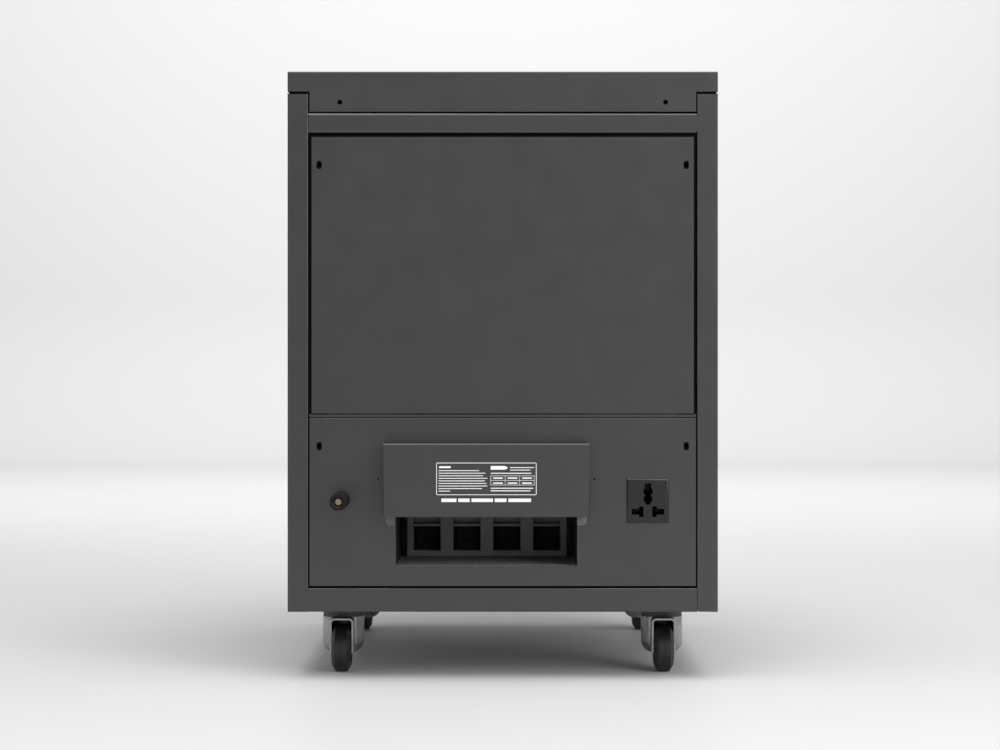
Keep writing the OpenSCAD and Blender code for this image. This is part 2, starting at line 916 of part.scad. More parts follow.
// Outline of the earth aperture: a straight slot with two round lobes under it.
module earth_aperture() {
    translate([-earth_slot_w / 2, earth_slot_z]) square([earth_slot_w, earth_slot_h]);
    translate([0, upper_lobe_z]) circle(r = upper_lobe_r);
    translate([0, lower_lobe_z]) circle(r = lower_lobe_r);
    translate([-tail_w / 2, tail_z]) square([tail_w, tail_h]);
}

// Outline of the right-hand line aperture: a flat slot crossed by an upright one.
module line_aperture() {
    translate([line_in, line_slot_z]) square([line_slot_w, line_slot_h]);
    translate([line_in, cross_slot_z]) square([cross_slot_w, cross_slot_h]);
}

module outlet_apertures() {
    earth_aperture();
    line_aperture();
    mirror([1, 0]) line_aperture();
}

module outlet_body() {
    front = rear_skin - outlet_t;
    color(black) difference() {
        union() {
            outlet_block(front, rear_skin, 0);
            outlet_block(rear_skin, rear_skin + outlet_depth, outlet_neck);
        }
        translate([outlet_x, front + pocket_depth, outlet_mid]) rotate([90, 0, 0])
            linear_extrude(pocket_depth + through) outlet_apertures();
    }
}

module shutter(w, h) {
    translate([-w / 2, 0, 0]) cube([w, shutter_t, h]);
}

// Shutters at the bottom of the three pockets.
module outlet_shutters() {
    back = rear_skin - outlet_t + pocket_depth;
    color(black) {
        translate([outlet_x, back - shutter_t, outlet_mid + earth_slot_z + shutter_in])
            shutter(earth_slot_w - shutter_in, earth_slot_h - 2 * shutter_in);
        for (side = [-1, 1]) {
            translate([outlet_x + side * (line_in + line_slot_w / 2), back - shutter_t,
                outlet_mid + line_slot_z + shutter_in])
                shutter(line_slot_w - 4 * shutter_in, line_slot_h - 2 * shutter_in);
        }
    }
}

// ---------- earth post ----------

module earth_stud() {
    y0 = knob_front + stud_recess;
    y1 = rear_back + nut_t + stud_end;
    color(brass) {
        rod_y(earth_x, y0, earth_h, stud_d, y1 - y0);
        difference() {
            translate([earth_x, rear_back, earth_h]) rotate([-90, 0, 0])
                cylinder(d = nut_af / cos(30), h = nut_t, $fn = 6);
            rod_y(earth_x, rear_back - through, earth_h, stud_d, nut_t + 2 * through);
        }
    }
}

module earth_collar() {
    color(black) difference() {
        rod_y(earth_x, collar_front, earth_h, knob_d + 0.4, collar_l);
        rod_y(earth_x, collar_front - through, earth_h, stud_d, collar_l + 2 * through);
    }
}

module earth_washer() {
    color(brass) difference() {
        rod_y(earth_x, washer_front, earth_h, washer_d, washer_t);
        rod_y(earth_x, washer_front - through, earth_h, stud_d + 4 * pin_play, washer_t + 2 * through);
    }
}

module earth_knob() {
    length = knob_back - knob_front;
    color(black) difference() {
        rod_y(earth_x, knob_front, earth_h, knob_d, length);
        difference() {
            rod_y(earth_x, knob_front + waist_front, earth_h, knob_d + 2 * through,
                length - waist_front - waist_back);
            rod_y(earth_x, knob_front, earth_h, knob_d - waist_depth, length);
        }
        rod_y(earth_x, knob_front - through, earth_h, stud_d + 2 * pin_play, length + 2 * through);
    }
}

// ---------- front controls ----------

module display_bezel() {
    w = display_w / 2;
    h = display_h / 2;
    color(black) translate([0, front_skin, display_z]) difference() {
        union() {
            span([-w - bezel_rim, 0, -h - bezel_rim], [w + bezel_rim, bezel_t, h + bezel_rim]);
            span([-w + play, -sheet - bezel_neck, -h + play], [w - play, 0, h - play]);
        }
        span([-w + bezel_lip, -sheet - bezel_neck - through, -h + bezel_lip],
            [w - bezel_lip, bezel_t + through, h - bezel_lip]);
        span([-w + bezel_step, bezel_t - lens_t, -h + bezel_step],
            [w - bezel_step, bezel_t + through, h - bezel_step]);
    }
}

module display_lens() {
    w = display_w / 2 - bezel_step - lens_play;
    h = display_h / 2 - bezel_step - lens_play;
    color([0.05, 0.08, 0.1]) translate([0, front_skin + bezel_t - lens_t, display_z])
        span([-w, 0, -h], [w, lens_t - lens_sink, h]);
}

module button(side) {
    back = front_back - play - button_flange;
    color([0.55, 0.56, 0.57]) {
        rod_y(side * button_x, back, button_z, button_d, front_skin + button_proud - back);
        rod_y(side * button_x, back, button_z, button_d + 2 * button_rim, button_flange);
    }
}

module button_left() { button(-1); }

module button_right() { button(1); }

module breaker_body() {
    w = breaker_w / 2;
    h = breaker_h / 2;
    slot_w = lever_w / 2 + play;
    slot_y = lever_y - lever_r - play;
    color([0.86, 0.87, 0.86]) translate([breaker_x, 0, breaker_z]) difference() {
        union() {
            span([-w, front_back, -h], [w, front_skin + nose_proud, h]);
            span([-w, front_back - breaker_depth, -breaker_body_h / 2], [w, front_back, breaker_body_h / 2]);
        }
        span([-slot_w, slot_y, -lever_slot_h / 2],
            [slot_w, front_skin + nose_proud + through, lever_slot_h / 2]);
        rod_x(-w + lever_pin_in, lever_y, 0, lever_pin_d + 2 * pin_play, 2 * (w - lever_pin_in));
    }
}

// The toggle is drawn down, in its off position.
module breaker_lever() {
    tip = (y_front + lever_reach - lever_y - lever_t / 2 * sin(lever_tilt)) / cos(lever_tilt);
    color([0.1, 0.1, 0.11]) translate([breaker_x, lever_y, breaker_z]) {
        rod_x(-lever_w / 2, 0, 0, 2 * lever_r, lever_w);
        rod_x(-lever_w / 2 - lever_pin_end, 0, 0, lever_pin_d, lever_w + 2 * lever_pin_end);
        rotate([-lever_tilt, 0, 0])
            span([-lever_w / 2, 0, -lever_t / 2], [lever_w / 2, tip, lever_t / 2]);
    }
}

module control_board() {
    z0 = display_z - board_h / 2 - board_drop;
    hole_x = board_w / 2 - board_hole_in;
    hole_z = [z0 + board_hole_in, z0 + board_h - board_hole_in];
    color([0.05, 0.25, 0.12]) difference() {
        span([-board_w / 2, board_y - board_t, z0], [board_w / 2, board_y, z0 + board_h]);
        for (x = [-hole_x, hole_x], z = hole_z) {
            rod_y(x, board_y - board_t - through, z, board_hole_d, board_t + 2 * through);
        }
    }
    color(zinc) for (x = [-hole_x, hole_x], z = hole_z) {
        rod_y(x, board_y + seat, z, standoff_d, front_back - board_y - seat);
    }
    color(black) for (x = [-button_x, button_x]) {
        span([x - switch_w / 2, board_y + seat, button_z - switch_w / 2],
            [x + switch_w / 2, front_back - play - button_flange - button_travel - switch_gap,
                button_z + switch_w / 2]);
    }
}

// ---------- main transformer ----------

module transformer_core() {
    window_w = (stack_w - 3 * limb_w) / 2;
    window_h = stack_h - limb_w;
    z0 = floor_top + foot_t;
    color([0.3, 0.31, 0.33]) {
        difference() {
            span([-stack_w / 2, stack_y - stack_d / 2, z0],
                [stack_w / 2, stack_y + stack_d / 2, z0 + stack_h]);
            for (side = [-1, 1]) {
                translate([side * (limb_w / 2 + window_w / 2), 0, z0 + limb_w / 2])
                    span([-window_w / 2, stack_y - stack_d, 0], [window_w / 2, stack_y + stack_d, window_h]);
            }
        }
        difference() {
            for (y = [foot_y, 2 * stack_y - foot_y]) {
                span([-foot_w / 2, y - foot_d / 2, floor_top], [foot_w / 2, y + foot_d / 2, z0]);
            }
            transformer_holes(floor_top - through, z0 + through, plate_bolt_d + 2 * hole_play);
        }
    }
}

module transformer_coil() {
    z0 = floor_top + foot_t + limb_w / 2 + coil_gap;
    z1 = z0 + stack_h - limb_w - 2 * coil_gap;
    w = limb_w / 2;
    d = stack_d / 2;
    color(copper) translate([0, stack_y, 0]) difference() {
        span([-w - coil_t, -d - coil_t, z0], [w + coil_t, d + coil_t, z1]);
        span([-w, -d, z0 - through], [w, d, z1 + through]);
    }
}

// ---------- regulating transformer and its drive ----------

module ring_core() {
    color([0.33, 0.34, 0.36]) translate([0, y_mid, ring_z]) difference() {
        cylinder(d = core_d, h = core_h, $fn = 128);
        translate([0, 0, -through]) cylinder(d = core_bore, h = core_h + 2 * through, $fn = 128);
    }
}

// The turns lie round the core as one sleeve, open at the sector without turns.
module ring_winding() {
    color(copper) translate([0, y_mid, ring_z]) rotate([0, 0, 90 + winding_gap / 2])
        rotate_extrude(angle = 360 - winding_gap, $fn = 128) difference() {
            translate([core_bore / 2 - winding_t, -winding_t])
                square([core_w + 2 * winding_t, core_h + 2 * winding_t]);
            translate([core_bore / 2 - play, -play]) square([core_w + 2 * play, core_h + 2 * play]);
        }
}

module ring_column() {
    color(black) translate([0, y_mid, shelf_top]) difference() {
        union() {
            cylinder(d = core_d - 2 * ring_foot_in, h = ring_foot, $fn = 128);
            cylinder(d = column_d, h = ring_top - shelf_top - column_drop);
        }
        translate([0, 0, shaft_low - shelf_top]) cylinder(d = shaft_d + 2 * pin_play, h = core_h * 2);
        translate([0, 0, ring_foot + column_floor]) difference() {
            cylinder(d = column_d - 2 * column_wall, h = core_h * 2);
            cylinder(d = hub_d, h = core_h * 2);
        }
    }
}

// A sprung arm carries the carbon brush over the ground track on top of the turns.
module brush_arm() {
    reach = (core_d + core_bore) / 4;
    color([0.75, 0.75, 0.76]) translate([0, y_mid, 0]) difference() {
        union() {
            translate([0, 0, arm_z]) cylinder(d = hub_d, h = arm_t);
            translate([0, 0, arm_z]) span([-arm_w / 2, -reach - arm_end, 0], [arm_w / 2, 0, arm_t]);
        }
        translate([0, 0, arm_z - through]) cylinder(d = shaft_d, h = arm_t + 2 * through);
    }
    color(black) translate([-brush_w / 2, y_mid - reach - brush_l / 2, track_z])
        cube([brush_w, brush_l, brush_h - seat]);
}

module brush_shaft() {
    low = shaft_low + play;
    coupling_z = arm_z + arm_t + coupling_gap;
    color(zinc) translate([0, y_mid, 0]) {
        translate([0, 0, low]) cylinder(d = shaft_d, h = coupling_z + shaft_in - low);
        translate([0, 0, coupling_z]) cylinder(d = coupling_d, h = coupling_h);
        translate([0, 0, coupling_z + lap])
            cylinder(d = motor_shaft_d, h = bridge_z + bridge_t + motor_shaft_in - coupling_z - lap);
    }
}

module motor_bridge() {
    x = bridge_x;
    color(zinc) translate([0, y_mid, 0]) difference() {
        union() {
            span([-x, -bridge_w / 2, bridge_z], [x, bridge_w / 2, bridge_z + bridge_t]);
            for (side = [-1, 1]) {
                translate([side * (x - bridge_t / 2), 0, shelf_top])
                    span([-bridge_t / 2, -bridge_w / 2, 0],
                        [bridge_t / 2, bridge_w / 2, bridge_z - shelf_top + lap]);
                translate([side * (x + bridge_foot - bridge_t + lap), 0, shelf_top])
                    span([-bridge_foot, -bridge_w / 2, 0], [bridge_foot, bridge_w / 2, bridge_t]);
            }
        }
        translate([0, 0, bridge_z - through]) cylinder(d = bridge_hole_d, h = bridge_t + 2 * through);
    }
}

module servo_motor() {
    z0 = bridge_z + bridge_t;
    color([0.24, 0.25, 0.27]) translate([0, y_mid, z0]) difference() {
        union() {
            span([-gear_w / 2, -gear_d / 2, 0], [gear_w / 2, gear_d / 2, gear_h]);
            translate([0, 0, gear_h - lap]) cylinder(d = motor_d, h = motor_h);
        }
        translate([0, 0, -through]) cylinder(d = motor_shaft_d + 2 * pin_play, h = motor_bore + through);
    }
}

// ---------- castors ----------

module castor_plates() {
    color([0.35, 0.35, 0.36]) castor_centres() difference() {
        union() {
            translate([-castor_plate_w / 2, -castor_plate_w / 2, castor_h - plate_t])
                cube([castor_plate_w, castor_plate_w, plate_t]);
            translate([0, 0, fork_top + play]) cylinder(d = cup_d, h = castor_h - plate_t - fork_top);
        }
        plate_holes(castor_h - plate_t - through, castor_h + through, plate_bolt_d + 2 * hole_play);
        cylinder(d = kingpin_d, h = castor_h + through);
    }
}

module castor_kingpins() {
    head_z = crown - play - kingpin_head_t;
    color(zinc) castor_centres() {
        translate([0, 0, head_z]) cylinder(d = kingpin_head_d, h = kingpin_head_t);
        translate([0, 0, head_z + 1]) cylinder(d = kingpin_d, h = castor_h - head_z - 1);
    }
}

// An upright rectangle with two round upper corners, for the fork's channel and its slot.
module arch(w, low, high, r) {
    translate([-w / 2, low]) square([w, high - low - r]);
    translate([-w / 2 + r, low]) square([w - 2 * r, high - low]);
    for (side = [-1, 1]) {
        translate([side * (w / 2 - r), high - r]) circle(r = r);
    }
}

// The hood's half outline, inset by t: a drum with a rounded lower edge.
module hood_profile(t) {
    r = hood_d / 2 - t;
    corner = hood_r - t;
    translate([0, hood_low + t]) square([r - corner, fork_top - hood_low - 2 * t]);
    translate([0, hood_low + hood_r]) square([r, fork_top - hood_low - hood_r - t]);
    intersection() {
        translate([r - corner, hood_low + hood_r]) circle(r = corner);
        translate([0, hood_low]) square([r, hood_d]);
    }
}

// The fork is drawn with its swivel axis at the origin and its wheel towards -Y.
module fork() {
    color(zinc) difference() {
        union() {
            rotate_extrude() hood_profile(0);
            rotate([90, 0, 0]) linear_extrude(trail + leg_front)
                arch(fork_gap + 2 * fork_t, leg_low, fork_top, leg_r);
        }
        rotate_extrude() hood_profile(fork_t);
        translate([0, 3, 0]) rotate([90, 0, 0])
            linear_extrude(trail + leg_front + 10) arch(fork_gap, -10, crown, leg_r - fork_t);
        rod_x(-hood_d, -trail, wheel_d / 2, axle_d, 2 * hood_d);
        cylinder(d = kingpin_d + 2 * pin_play, h = fork_top + through);
    }
}

module axle() {
    half = fork_gap / 2 + fork_t;
    color(zinc) {
        rod_x(-half - axle_head, -trail, wheel_d / 2, axle_d, 2 * (half + axle_head));
        for (x = [-half - axle_head, half]) {
            rod_x(x, -trail, wheel_d / 2, axle_head_d, axle_head);
        }
    }
}

module wheel() {
    r = wheel_d / 2;
    bore = axle_d / 2 + pin_play;
    w = wheel_w / 2;
    shoulder = r - 5.9;
    color(black) translate([0, -trail, r]) rotate([0, 90, 0])
        rotate_extrude($fn = 96)
            polygon([[bore, -w], [shoulder, -w], [r, -tread_w / 2],
                [r, tread_w / 2], [shoulder, w], [bore, w]]);
}

// Places a castor's moving parts: the rear pair trails backwards and the front pair forwards.
module at_castor(right, front) {
    translate([right * castor_x, front > 0 ? castor_y1 : castor_y0, 0])
        rotate([0, 0, front > 0 ? 180 : 0])
            children();
}

module castor_fork_rear_left() { at_castor(-1, -1) fork(); }
module castor_fork_rear_right() { at_castor(1, -1) fork(); }
module castor_fork_front_left() { at_castor(-1, 1) fork(); }
module castor_fork_front_right() { at_castor(1, 1) fork(); }
module castor_axle_rear_left() { at_castor(-1, -1) axle(); }
module castor_axle_rear_right() { at_castor(1, -1) axle(); }
module castor_axle_front_left() { at_castor(-1, 1) axle(); }
module castor_axle_front_right() { at_castor(1, 1) axle(); }
module castor_wheel_rear_left() { at_castor(-1, -1) wheel(); }
module castor_wheel_rear_right() { at_castor(1, -1) wheel(); }
module castor_wheel_front_left() { at_castor(-1, 1) wheel(); }
module castor_wheel_front_right() { at_castor(1, 1) wheel(); }

// ---------- fasteners ----------

// A flat cross-head screw, level with the frame, whose head sits on the plane z = 0 with its shank below.
module panel_screw() {
    difference() {
        cylinder(d = 1.9 * screw_d, h = panel_recess);
        for (a = [0, 90]) {
            rotate([0, 0, a]) translate([-screw_d * 0.6, -screw_slot / 2, panel_recess / 2])
                cube([screw_d * 1.2, screw_slot, panel_recess]);
        }
    }
    translate([0, 0, -screw_l]) cylinder(d = screw_d - 0.8, h = screw_l + panel_recess / 4);
}

module panel_screws() {
    color(black) {
        for (x = [-screw_x, screw_x], z = [screw_low_z, screw_top_z]) {
            translate([x, front_skin, z]) rotate([-90, 0, 0]) panel_screw();
        }
        for (side = [-1, 1], y = [rear_screw_y, front_screw_y], z = [screw_low_z, screw_top_z]) {
            translate([side * side_skin, y, z]) rotate([0, side * 90, 0]) panel_screw();
        }
    }
}

module hex_bolt(length) {
    translate([0, 0, -bolt_head_h]) cylinder(d = bolt_af / cos(30), h = bolt_head_h, $fn = 6);
    translate([0, 0, -lap]) cylinder(d = plate_bolt_d, h = length + lap);
}

module fixing_bolts() {
    reach = castor_plate_w / 2 - plate_hole_in;
    color(zinc) {
        castor_centres() {
            for (x = [-reach, reach], y = [-reach, reach]) {
                translate([x, y, castor_h - plate_t]) hex_bolt(plate_bolt_l);
            }
        }
        for (x = [-transformer_bolt_x, transformer_bolt_x], y = [foot_y, 2 * stack_y - foot_y]) {
            translate([x, y, castor_h]) hex_bolt(transformer_bolt_l);
        }
    }
}

post_rear_left();
post_rear_right();
post_front_left();
post_front_right();
bottom_rails();
top_rails();
base_plate();
lid();
rear_upper_panel();
rear_lower_panel();
side_panel_left();
side_panel_right();
front_panel();
shelf();
shelf_rails();
terminal_cover();
cover_hinge_pin();
cover_brackets();
cable_tray();
terminal_block();
terminal_clamps();
terminal_screws();
outlet_body();
outlet_shutters();
earth_stud();
earth_collar();
earth_washer();
earth_knob();
display_bezel();
display_lens();
button_left();
button_right();
breaker_body();
breaker_lever();
transformer_core();
transformer_coil();
ring_core();
ring_winding();
ring_column();
brush_arm();
brush_shaft();
motor_bridge();
servo_motor();
control_board();
castor_plates();
castor_kingpins();
castor_fork_rear_left();
castor_fork_rear_right();
castor_fork_front_left();
castor_fork_front_right();
castor_axle_rear_left();
castor_axle_rear_right();
castor_axle_front_left();
castor_axle_front_right();
castor_wheel_rear_left();
castor_wheel_rear_right();
castor_wheel_front_left();
castor_wheel_front_right();
panel_screws();
fixing_bolts();
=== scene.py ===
# %% [markdown]
# # A floor-standing power cabinet on castors
# This lesson builds the finished look of a dark sheet-steel cabinet round an exact engineering model.
# The engineering model is the frame: every piece made here rides on one of its bodies, so the cover, the
# knob and the wheels still move. Lengths are in metres, +Z is up, and the rear face, which has the
# terminals, looks along -Y.

import json
import math

import bmesh
import bpy
from mathutils import Matrix, Vector


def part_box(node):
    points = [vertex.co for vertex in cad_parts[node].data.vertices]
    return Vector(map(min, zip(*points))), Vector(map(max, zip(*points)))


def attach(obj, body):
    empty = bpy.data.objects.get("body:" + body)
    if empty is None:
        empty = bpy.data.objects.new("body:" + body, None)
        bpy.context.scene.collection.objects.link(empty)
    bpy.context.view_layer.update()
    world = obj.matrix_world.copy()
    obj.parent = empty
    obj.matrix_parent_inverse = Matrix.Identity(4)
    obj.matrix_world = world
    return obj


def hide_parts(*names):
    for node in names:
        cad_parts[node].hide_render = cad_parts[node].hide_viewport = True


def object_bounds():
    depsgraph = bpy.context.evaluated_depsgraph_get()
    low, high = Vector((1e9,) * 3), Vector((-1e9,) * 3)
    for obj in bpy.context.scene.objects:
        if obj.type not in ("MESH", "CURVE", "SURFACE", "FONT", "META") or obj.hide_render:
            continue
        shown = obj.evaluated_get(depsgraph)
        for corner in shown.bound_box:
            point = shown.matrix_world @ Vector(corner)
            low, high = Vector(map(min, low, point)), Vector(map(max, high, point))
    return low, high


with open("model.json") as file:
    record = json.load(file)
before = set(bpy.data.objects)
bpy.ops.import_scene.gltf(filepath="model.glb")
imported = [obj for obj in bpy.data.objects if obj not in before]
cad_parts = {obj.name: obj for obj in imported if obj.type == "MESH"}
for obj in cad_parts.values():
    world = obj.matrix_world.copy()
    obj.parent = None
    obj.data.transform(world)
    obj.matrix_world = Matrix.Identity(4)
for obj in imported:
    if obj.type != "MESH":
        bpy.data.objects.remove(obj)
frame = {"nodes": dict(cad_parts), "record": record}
cad_box = [list(corner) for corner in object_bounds()]
MM = 0.001

# %% [markdown]
# ## Reading sizes off the frame
# Nothing here repeats the engineer's numbers if it can ask for them.


# %% Boxes and centres
def box_of(node):
    """Lowest and highest corner of a node, as two vectors."""
    low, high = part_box(node)
    return Vector(low), Vector(high)


def centre_of(node):
    low, high = box_of(node)
    return (low + high) / 2


CORNERS = ["rear_left", "rear_right", "front_left", "front_right"]
print("cabinet is", [round((b - a) * 1000) for a, b in zip(*cad_box)], "mm")

# %% [markdown]
# ## Camera
# A long lens far back, level and square to the rear face. A level camera keeps upright edges upright;
# the small shifts slide the picture without tilting the camera.

# %% Place the camera
rear_y = box_of("post_rear_left")[0].y
camera_distance = 2.30
camera_height = 0.3236
lens = bpy.data.cameras.new("camera")
lens.lens = 79.2
lens.sensor_width = 36
lens.shift_x = 0.0011
lens.shift_y = -0.0037
lens.clip_end = 50
camera = bpy.data.objects.new("camera", lens)
bpy.context.collection.objects.link(camera)
camera.location = (-0.004, rear_y - camera_distance, camera_height)
camera.rotation_euler = (math.radians(90), 0, 0)
bpy.context.scene.camera = camera

# %% [markdown]
# ## Colour
# Colours are chosen as sRGB hex values, which is how paint and screens are usually quoted. Shaders want
# linear light, so one function does the conversion for every colour in the file.


# %% Hex to linear colour
def colour(hex_value):
    """An sRGB hex value such as '#4a4a4c' as a linear RGBA tuple."""
    parts = [int(hex_value[i : i + 2], 16) / 255 for i in (1, 3, 5)]
    linear = [p / 12.92 if p <= 0.04045 else ((p + 0.055) / 1.055) ** 2.4 for p in parts]
    return (*linear, 1.0)


# %% [markdown]
# ## Materials
# Each finish is one material built from nodes. `add` places one node, sets its values and links its
# inputs. All patterns read Object coordinates, which are metres on every piece, so a scale is simply
# one divided by the size of the pattern.


# %% One helper for nodes
def add(tree, kind, inputs=None, **settings):
    """Adds a node. inputs maps a socket to a value or to the output socket that feeds it."""
    node = tree.nodes.new(kind)
    for key, value in settings.items():
        setattr(node, key, value)
    for key, value in (inputs or {}).items():
        if isinstance(value, bpy.types.NodeSocket):
            tree.links.new(value, node.inputs[key])
        else:
            node.inputs[key].default_value = value
    return node


def per_mm(size_mm):
    """The scale that makes one cell of a pattern this many millimetres."""
    return 1000 / size_mm


# %% [markdown]
# ### How a real finish varies
# No finish is the same all over. Its colour is mottled, its gloss wanders, and its skin has a grain. So
# one function makes every finish here, and each of the three takes the size of its pattern in
# millimetres. Where the pattern is not a soft cloud, a function that draws it stands in for the size.


# %% Clouds and finishes
def cloud(tree, place, size_mm, low, high, detail):
    """Soft noise whose values are spread between low and high."""
    noise = add(tree, "ShaderNodeTexNoise", {"Vector": place, "Scale": per_mm(size_mm), "Detail": detail})
    spread = {"Value": noise.outputs["Fac"], "From Min": 0.3, "From Max": 0.7, "To Min": low, "To Max": high}
    return add(tree, "ShaderNodeMapRange", spread).outputs["Result"]


def finish(name, base, roughness, metallic=0.0, mottle=None, wander=None, grain=None, **sockets):
    """A material on one Principled shader.

    mottle is (size, first colour, second colour), wander is (size, low roughness, high roughness) and
    grain is (size, depth in millimetres, strength). Each may end with the detail of its noise.
    """
    material = bpy.data.materials.new(name)
    material.use_nodes = True
    tree = material.node_tree
    shader = tree.nodes["Principled BSDF"]
    shader.inputs["Base Color"].default_value = colour(base)
    shader.inputs["Roughness"].default_value = roughness
    shader.inputs["Metallic"].default_value = metallic
    for key, value in sockets.items():
        shader.inputs[key.replace("_", " ")].default_value = value
    place = add(tree, "ShaderNodeTexCoord").outputs["Object"]

    def pattern(size, low=0, high=1, detail=4.0):
        return size(tree, place) if callable(size) else cloud(tree, place, size, low, high, detail)

    if mottle:
        size, first, second, *detail = mottle
        ends = {"Factor": pattern(size, 0, 1, *detail), "A": colour(first), "B": colour(second)}
        mix = add(tree, "ShaderNodeMix", ends, data_type="RGBA")
        tree.links.new(mix.outputs["Result"], shader.inputs["Base Color"])
    if wander:
        tree.links.new(pattern(*wander), shader.inputs["Roughness"])
    if grain:
        size, depth_mm, strength, *detail = grain
        height = {"Height": pattern(size, 0, 1, *detail), "Distance": depth_mm * MM, "Strength": strength}
        bump = add(tree, "ShaderNodeBump", height)
        tree.links.new(bump.outputs["Normal"], shader.inputs["Normal"])
    return material


# %% [markdown]
# ### Powder coat
# The outside is polyester powder coat baked on folded steel. It flows into a fine orange-peel skin, so
# it is satin rather than matt: a soft grey sheen on a charcoal ground. The peel is under a millimetre
# across, drawn here at 1.6 mm so that it still shows from two metres.

# %% Powder coat
powder = finish(
    "satin_powder_coat",
    "#171718",
    0.42,
    mottle=(60, "#161617", "#191919"),
    wander=(35, 0.38, 0.47),
    grain=(1.6, 0.02, 0.6, 2.0),
    IOR=1.5,
    Specular_IOR_Level=0.8,
    Coat_Weight=0.4,
    Coat_Roughness=0.2,
)

# %% [markdown]
# ### Primed inner steel
# The shelf and its rails get a thin dull coat. Dust and overspray make it speckled.

# %% Inner steel
inner_steel = finish(
    "thin_dark_primer_on_steel",
    "#3a3a3b",
    0.62,
    mottle=(1.1, "#2a2a2b", "#5a5a5b", 3.0),
    grain=(1.1, 0.03, 0.5, 3.0),
)

# %% [markdown]
# ### Speckled tray
# The tray behind the cable entry is sprayed once over bare zinc, which leaves a salt-and-pepper grain. Its
# grey is painted lighter than that thin primer, as painted light for the light falling on the tray's floor.

# %% Tray grain and painted light
tray_grain_and_painted_light = finish(
    "primer_grain_and_painted_light",
    "#505051",
    0.6,
    mottle=(1.8, "#38383a", "#b0b0b2", 3.0),
    grain=(1.8, 0.03, 0.5, 3.0),
)

# %% [markdown]
# ### Painted edge highlight
# The rounded upright edges of the cable entry are painted a lighter grey, as a painted highlight.

# %% Painted edge highlight
painted_edge_highlight = finish("painted_highlight_on_cut_edge", "#6c6c6e", 0.4, 0.3, mottle=(3, "#5c5c5e", "#7e7e80"))

# %% [markdown]
# ### Painted gap shade
# Faces deep in the gaps round the panels, under the lid on the posts and inside the outlet's apertures are
# painted near black, as painted shade for the dark that falls there. So every gap round a panel reads as a
# black line.

# %% Painted gap shade
painted_gap_shade = finish("painted_shade_in_gaps", "#050505", 0.95, grain=(1.0, 0.1, 0.5), Specular_IOR_Level=0.1)

# %% [markdown]
# ### Zinc plate
# Castor forks and bolts are pressed steel with bright zinc. Freshly plated zinc is silver with a faint
# blue cast, and handling leaves it cloudy, so the roughness wanders. The brackets behind the cover are
# cut from dull galvanised strip.

# %% Zinc plate
zinc = finish(
    "bright_zinc_plate",
    "#97999c",
    0.3,
    1.0,
    mottle=(14, "#8b8d90", "#a6a8aa"),
    wander=(6, 0.24, 0.4),
    grain=(2.2, 0.012, 0.5),
)
galvanised = finish(
    "dull_galvanised_strip",
    "#6d6e70",
    0.6,
    0.5,
    mottle=(7, "#66676a", "#757678"),
    grain=(1.8, 0.01, 0.5),
)

# %% [markdown]
# ### Mouldings
# The outlet is a nearly black nylon moulding whose spark-eroded texture scatters light. The terminal
# block is a charcoal thermoset, and the knob is phenolic resin, polished by fingers.

# %% Mouldings
moulding = finish(
    "spark_textured_black_nylon",
    "#0b0b0c",
    0.4,
    mottle=(9, "#0a0a0b", "#0f0f10"),
    grain=(0.9, 0.03, 0.5, 2.0),
    Specular_IOR_Level=0.3,
    Coat_Weight=0.5,
    Coat_Roughness=0.2,
)
knob_black = finish(
    "worn_black_phenolic", "#0b0b0c", 0.45, wander=(4, 0.4, 0.55), Specular_IOR_Level=0.25
)
block_grey = finish(
    "charcoal_thermoset",
    "#757576",
    0.5,
    mottle=(9, "#717172", "#7a7a7b"),
    grain=(0.9, 0.03, 0.5, 2.0),
    IOR=1.53,
)

# %% [markdown]
# ### Painted recess shade
# The wire chambers and the side walls of the cable tray are painted dark grey: painted shade for the dark
# inside these recesses. It is a little lighter than the gap shade, so a trace of shape is left in the shade.

# %% Painted recess shade
painted_recess_shade = finish("painted_recess_shade_grey", "#2f2f31", 0.7, mottle=(6, "#2b2b2d", "#343436"), Specular_IOR_Level=0.2)

# %% [markdown]
# ### Brass and copper
# The earth stud is turned brass, which tarnishes from warm yellow towards brown. Enamelled copper wire
# is copper seen through amber varnish, which is why it takes a coat layer.

# %% Brass and copper
brass = finish(
    "tarnished_turned_brass", "#9c8c78", 0.4, 1.0, mottle=(3, "#8c7d68", "#aa9a84"), wander=(0.8, 0.34, 0.5)
)
copper = finish(
    "enamelled_copper_wire", "#a65a34", 0.35, 0.85, mottle=(5, "#964d2a", "#b96b41"), Coat_Weight=0.6
)

# %% [markdown]
# ### Rubber and dark fastenings
# The wheels have a moulded rubber tread that picks up floor dust, so it is grey-black and quite rough.
# The panel screws are blackened steel.

# %% Rubber and black screws
rubber = finish(
    "moulded_black_rubber",
    "#131314",
    0.5,
    mottle=(8, "#101011", "#1a1a1b"),
    wander=(2.5, 0.42, 0.58),
    grain=(1.2, 0.03, 0.4),
    IOR=1.52,
)
black_screw = finish("black_oxide_steel", "#202022", 0.4, 0.7, wander=(1.5, 0.32, 0.5))

# %% [markdown]
# ### Inside the cabinet
# Transformer steel is stacked in laminations, drawn as bands 1 mm thick. Its coil is wrapped in amber
# varnished tape. The motor is painted, the arm is cast aluminium, and the circuit board is green solder
# mask with faint tracks. The clamps of the terminal block are painted dark grey, as painted shade for
# the depth of the chambers they sit in.


# %% Inner materials
def laminations(tree, place):
    """Bands across Y. A wave of this scale repeats about every 2 mm."""
    wave = {"Vector": place, "Scale": per_mm(6.3), "Distortion": 0.3}
    return add(tree, "ShaderNodeTexWave", wave, bands_direction="Y").outputs["Fac"]


def tracks(tree, place):
    """A faint grid of lines."""
    grid = {"Vector": place, "Scale": per_mm(40), "Mortar Size": 0.01}
    return add(tree, "ShaderNodeTexBrick", grid).outputs["Fac"]
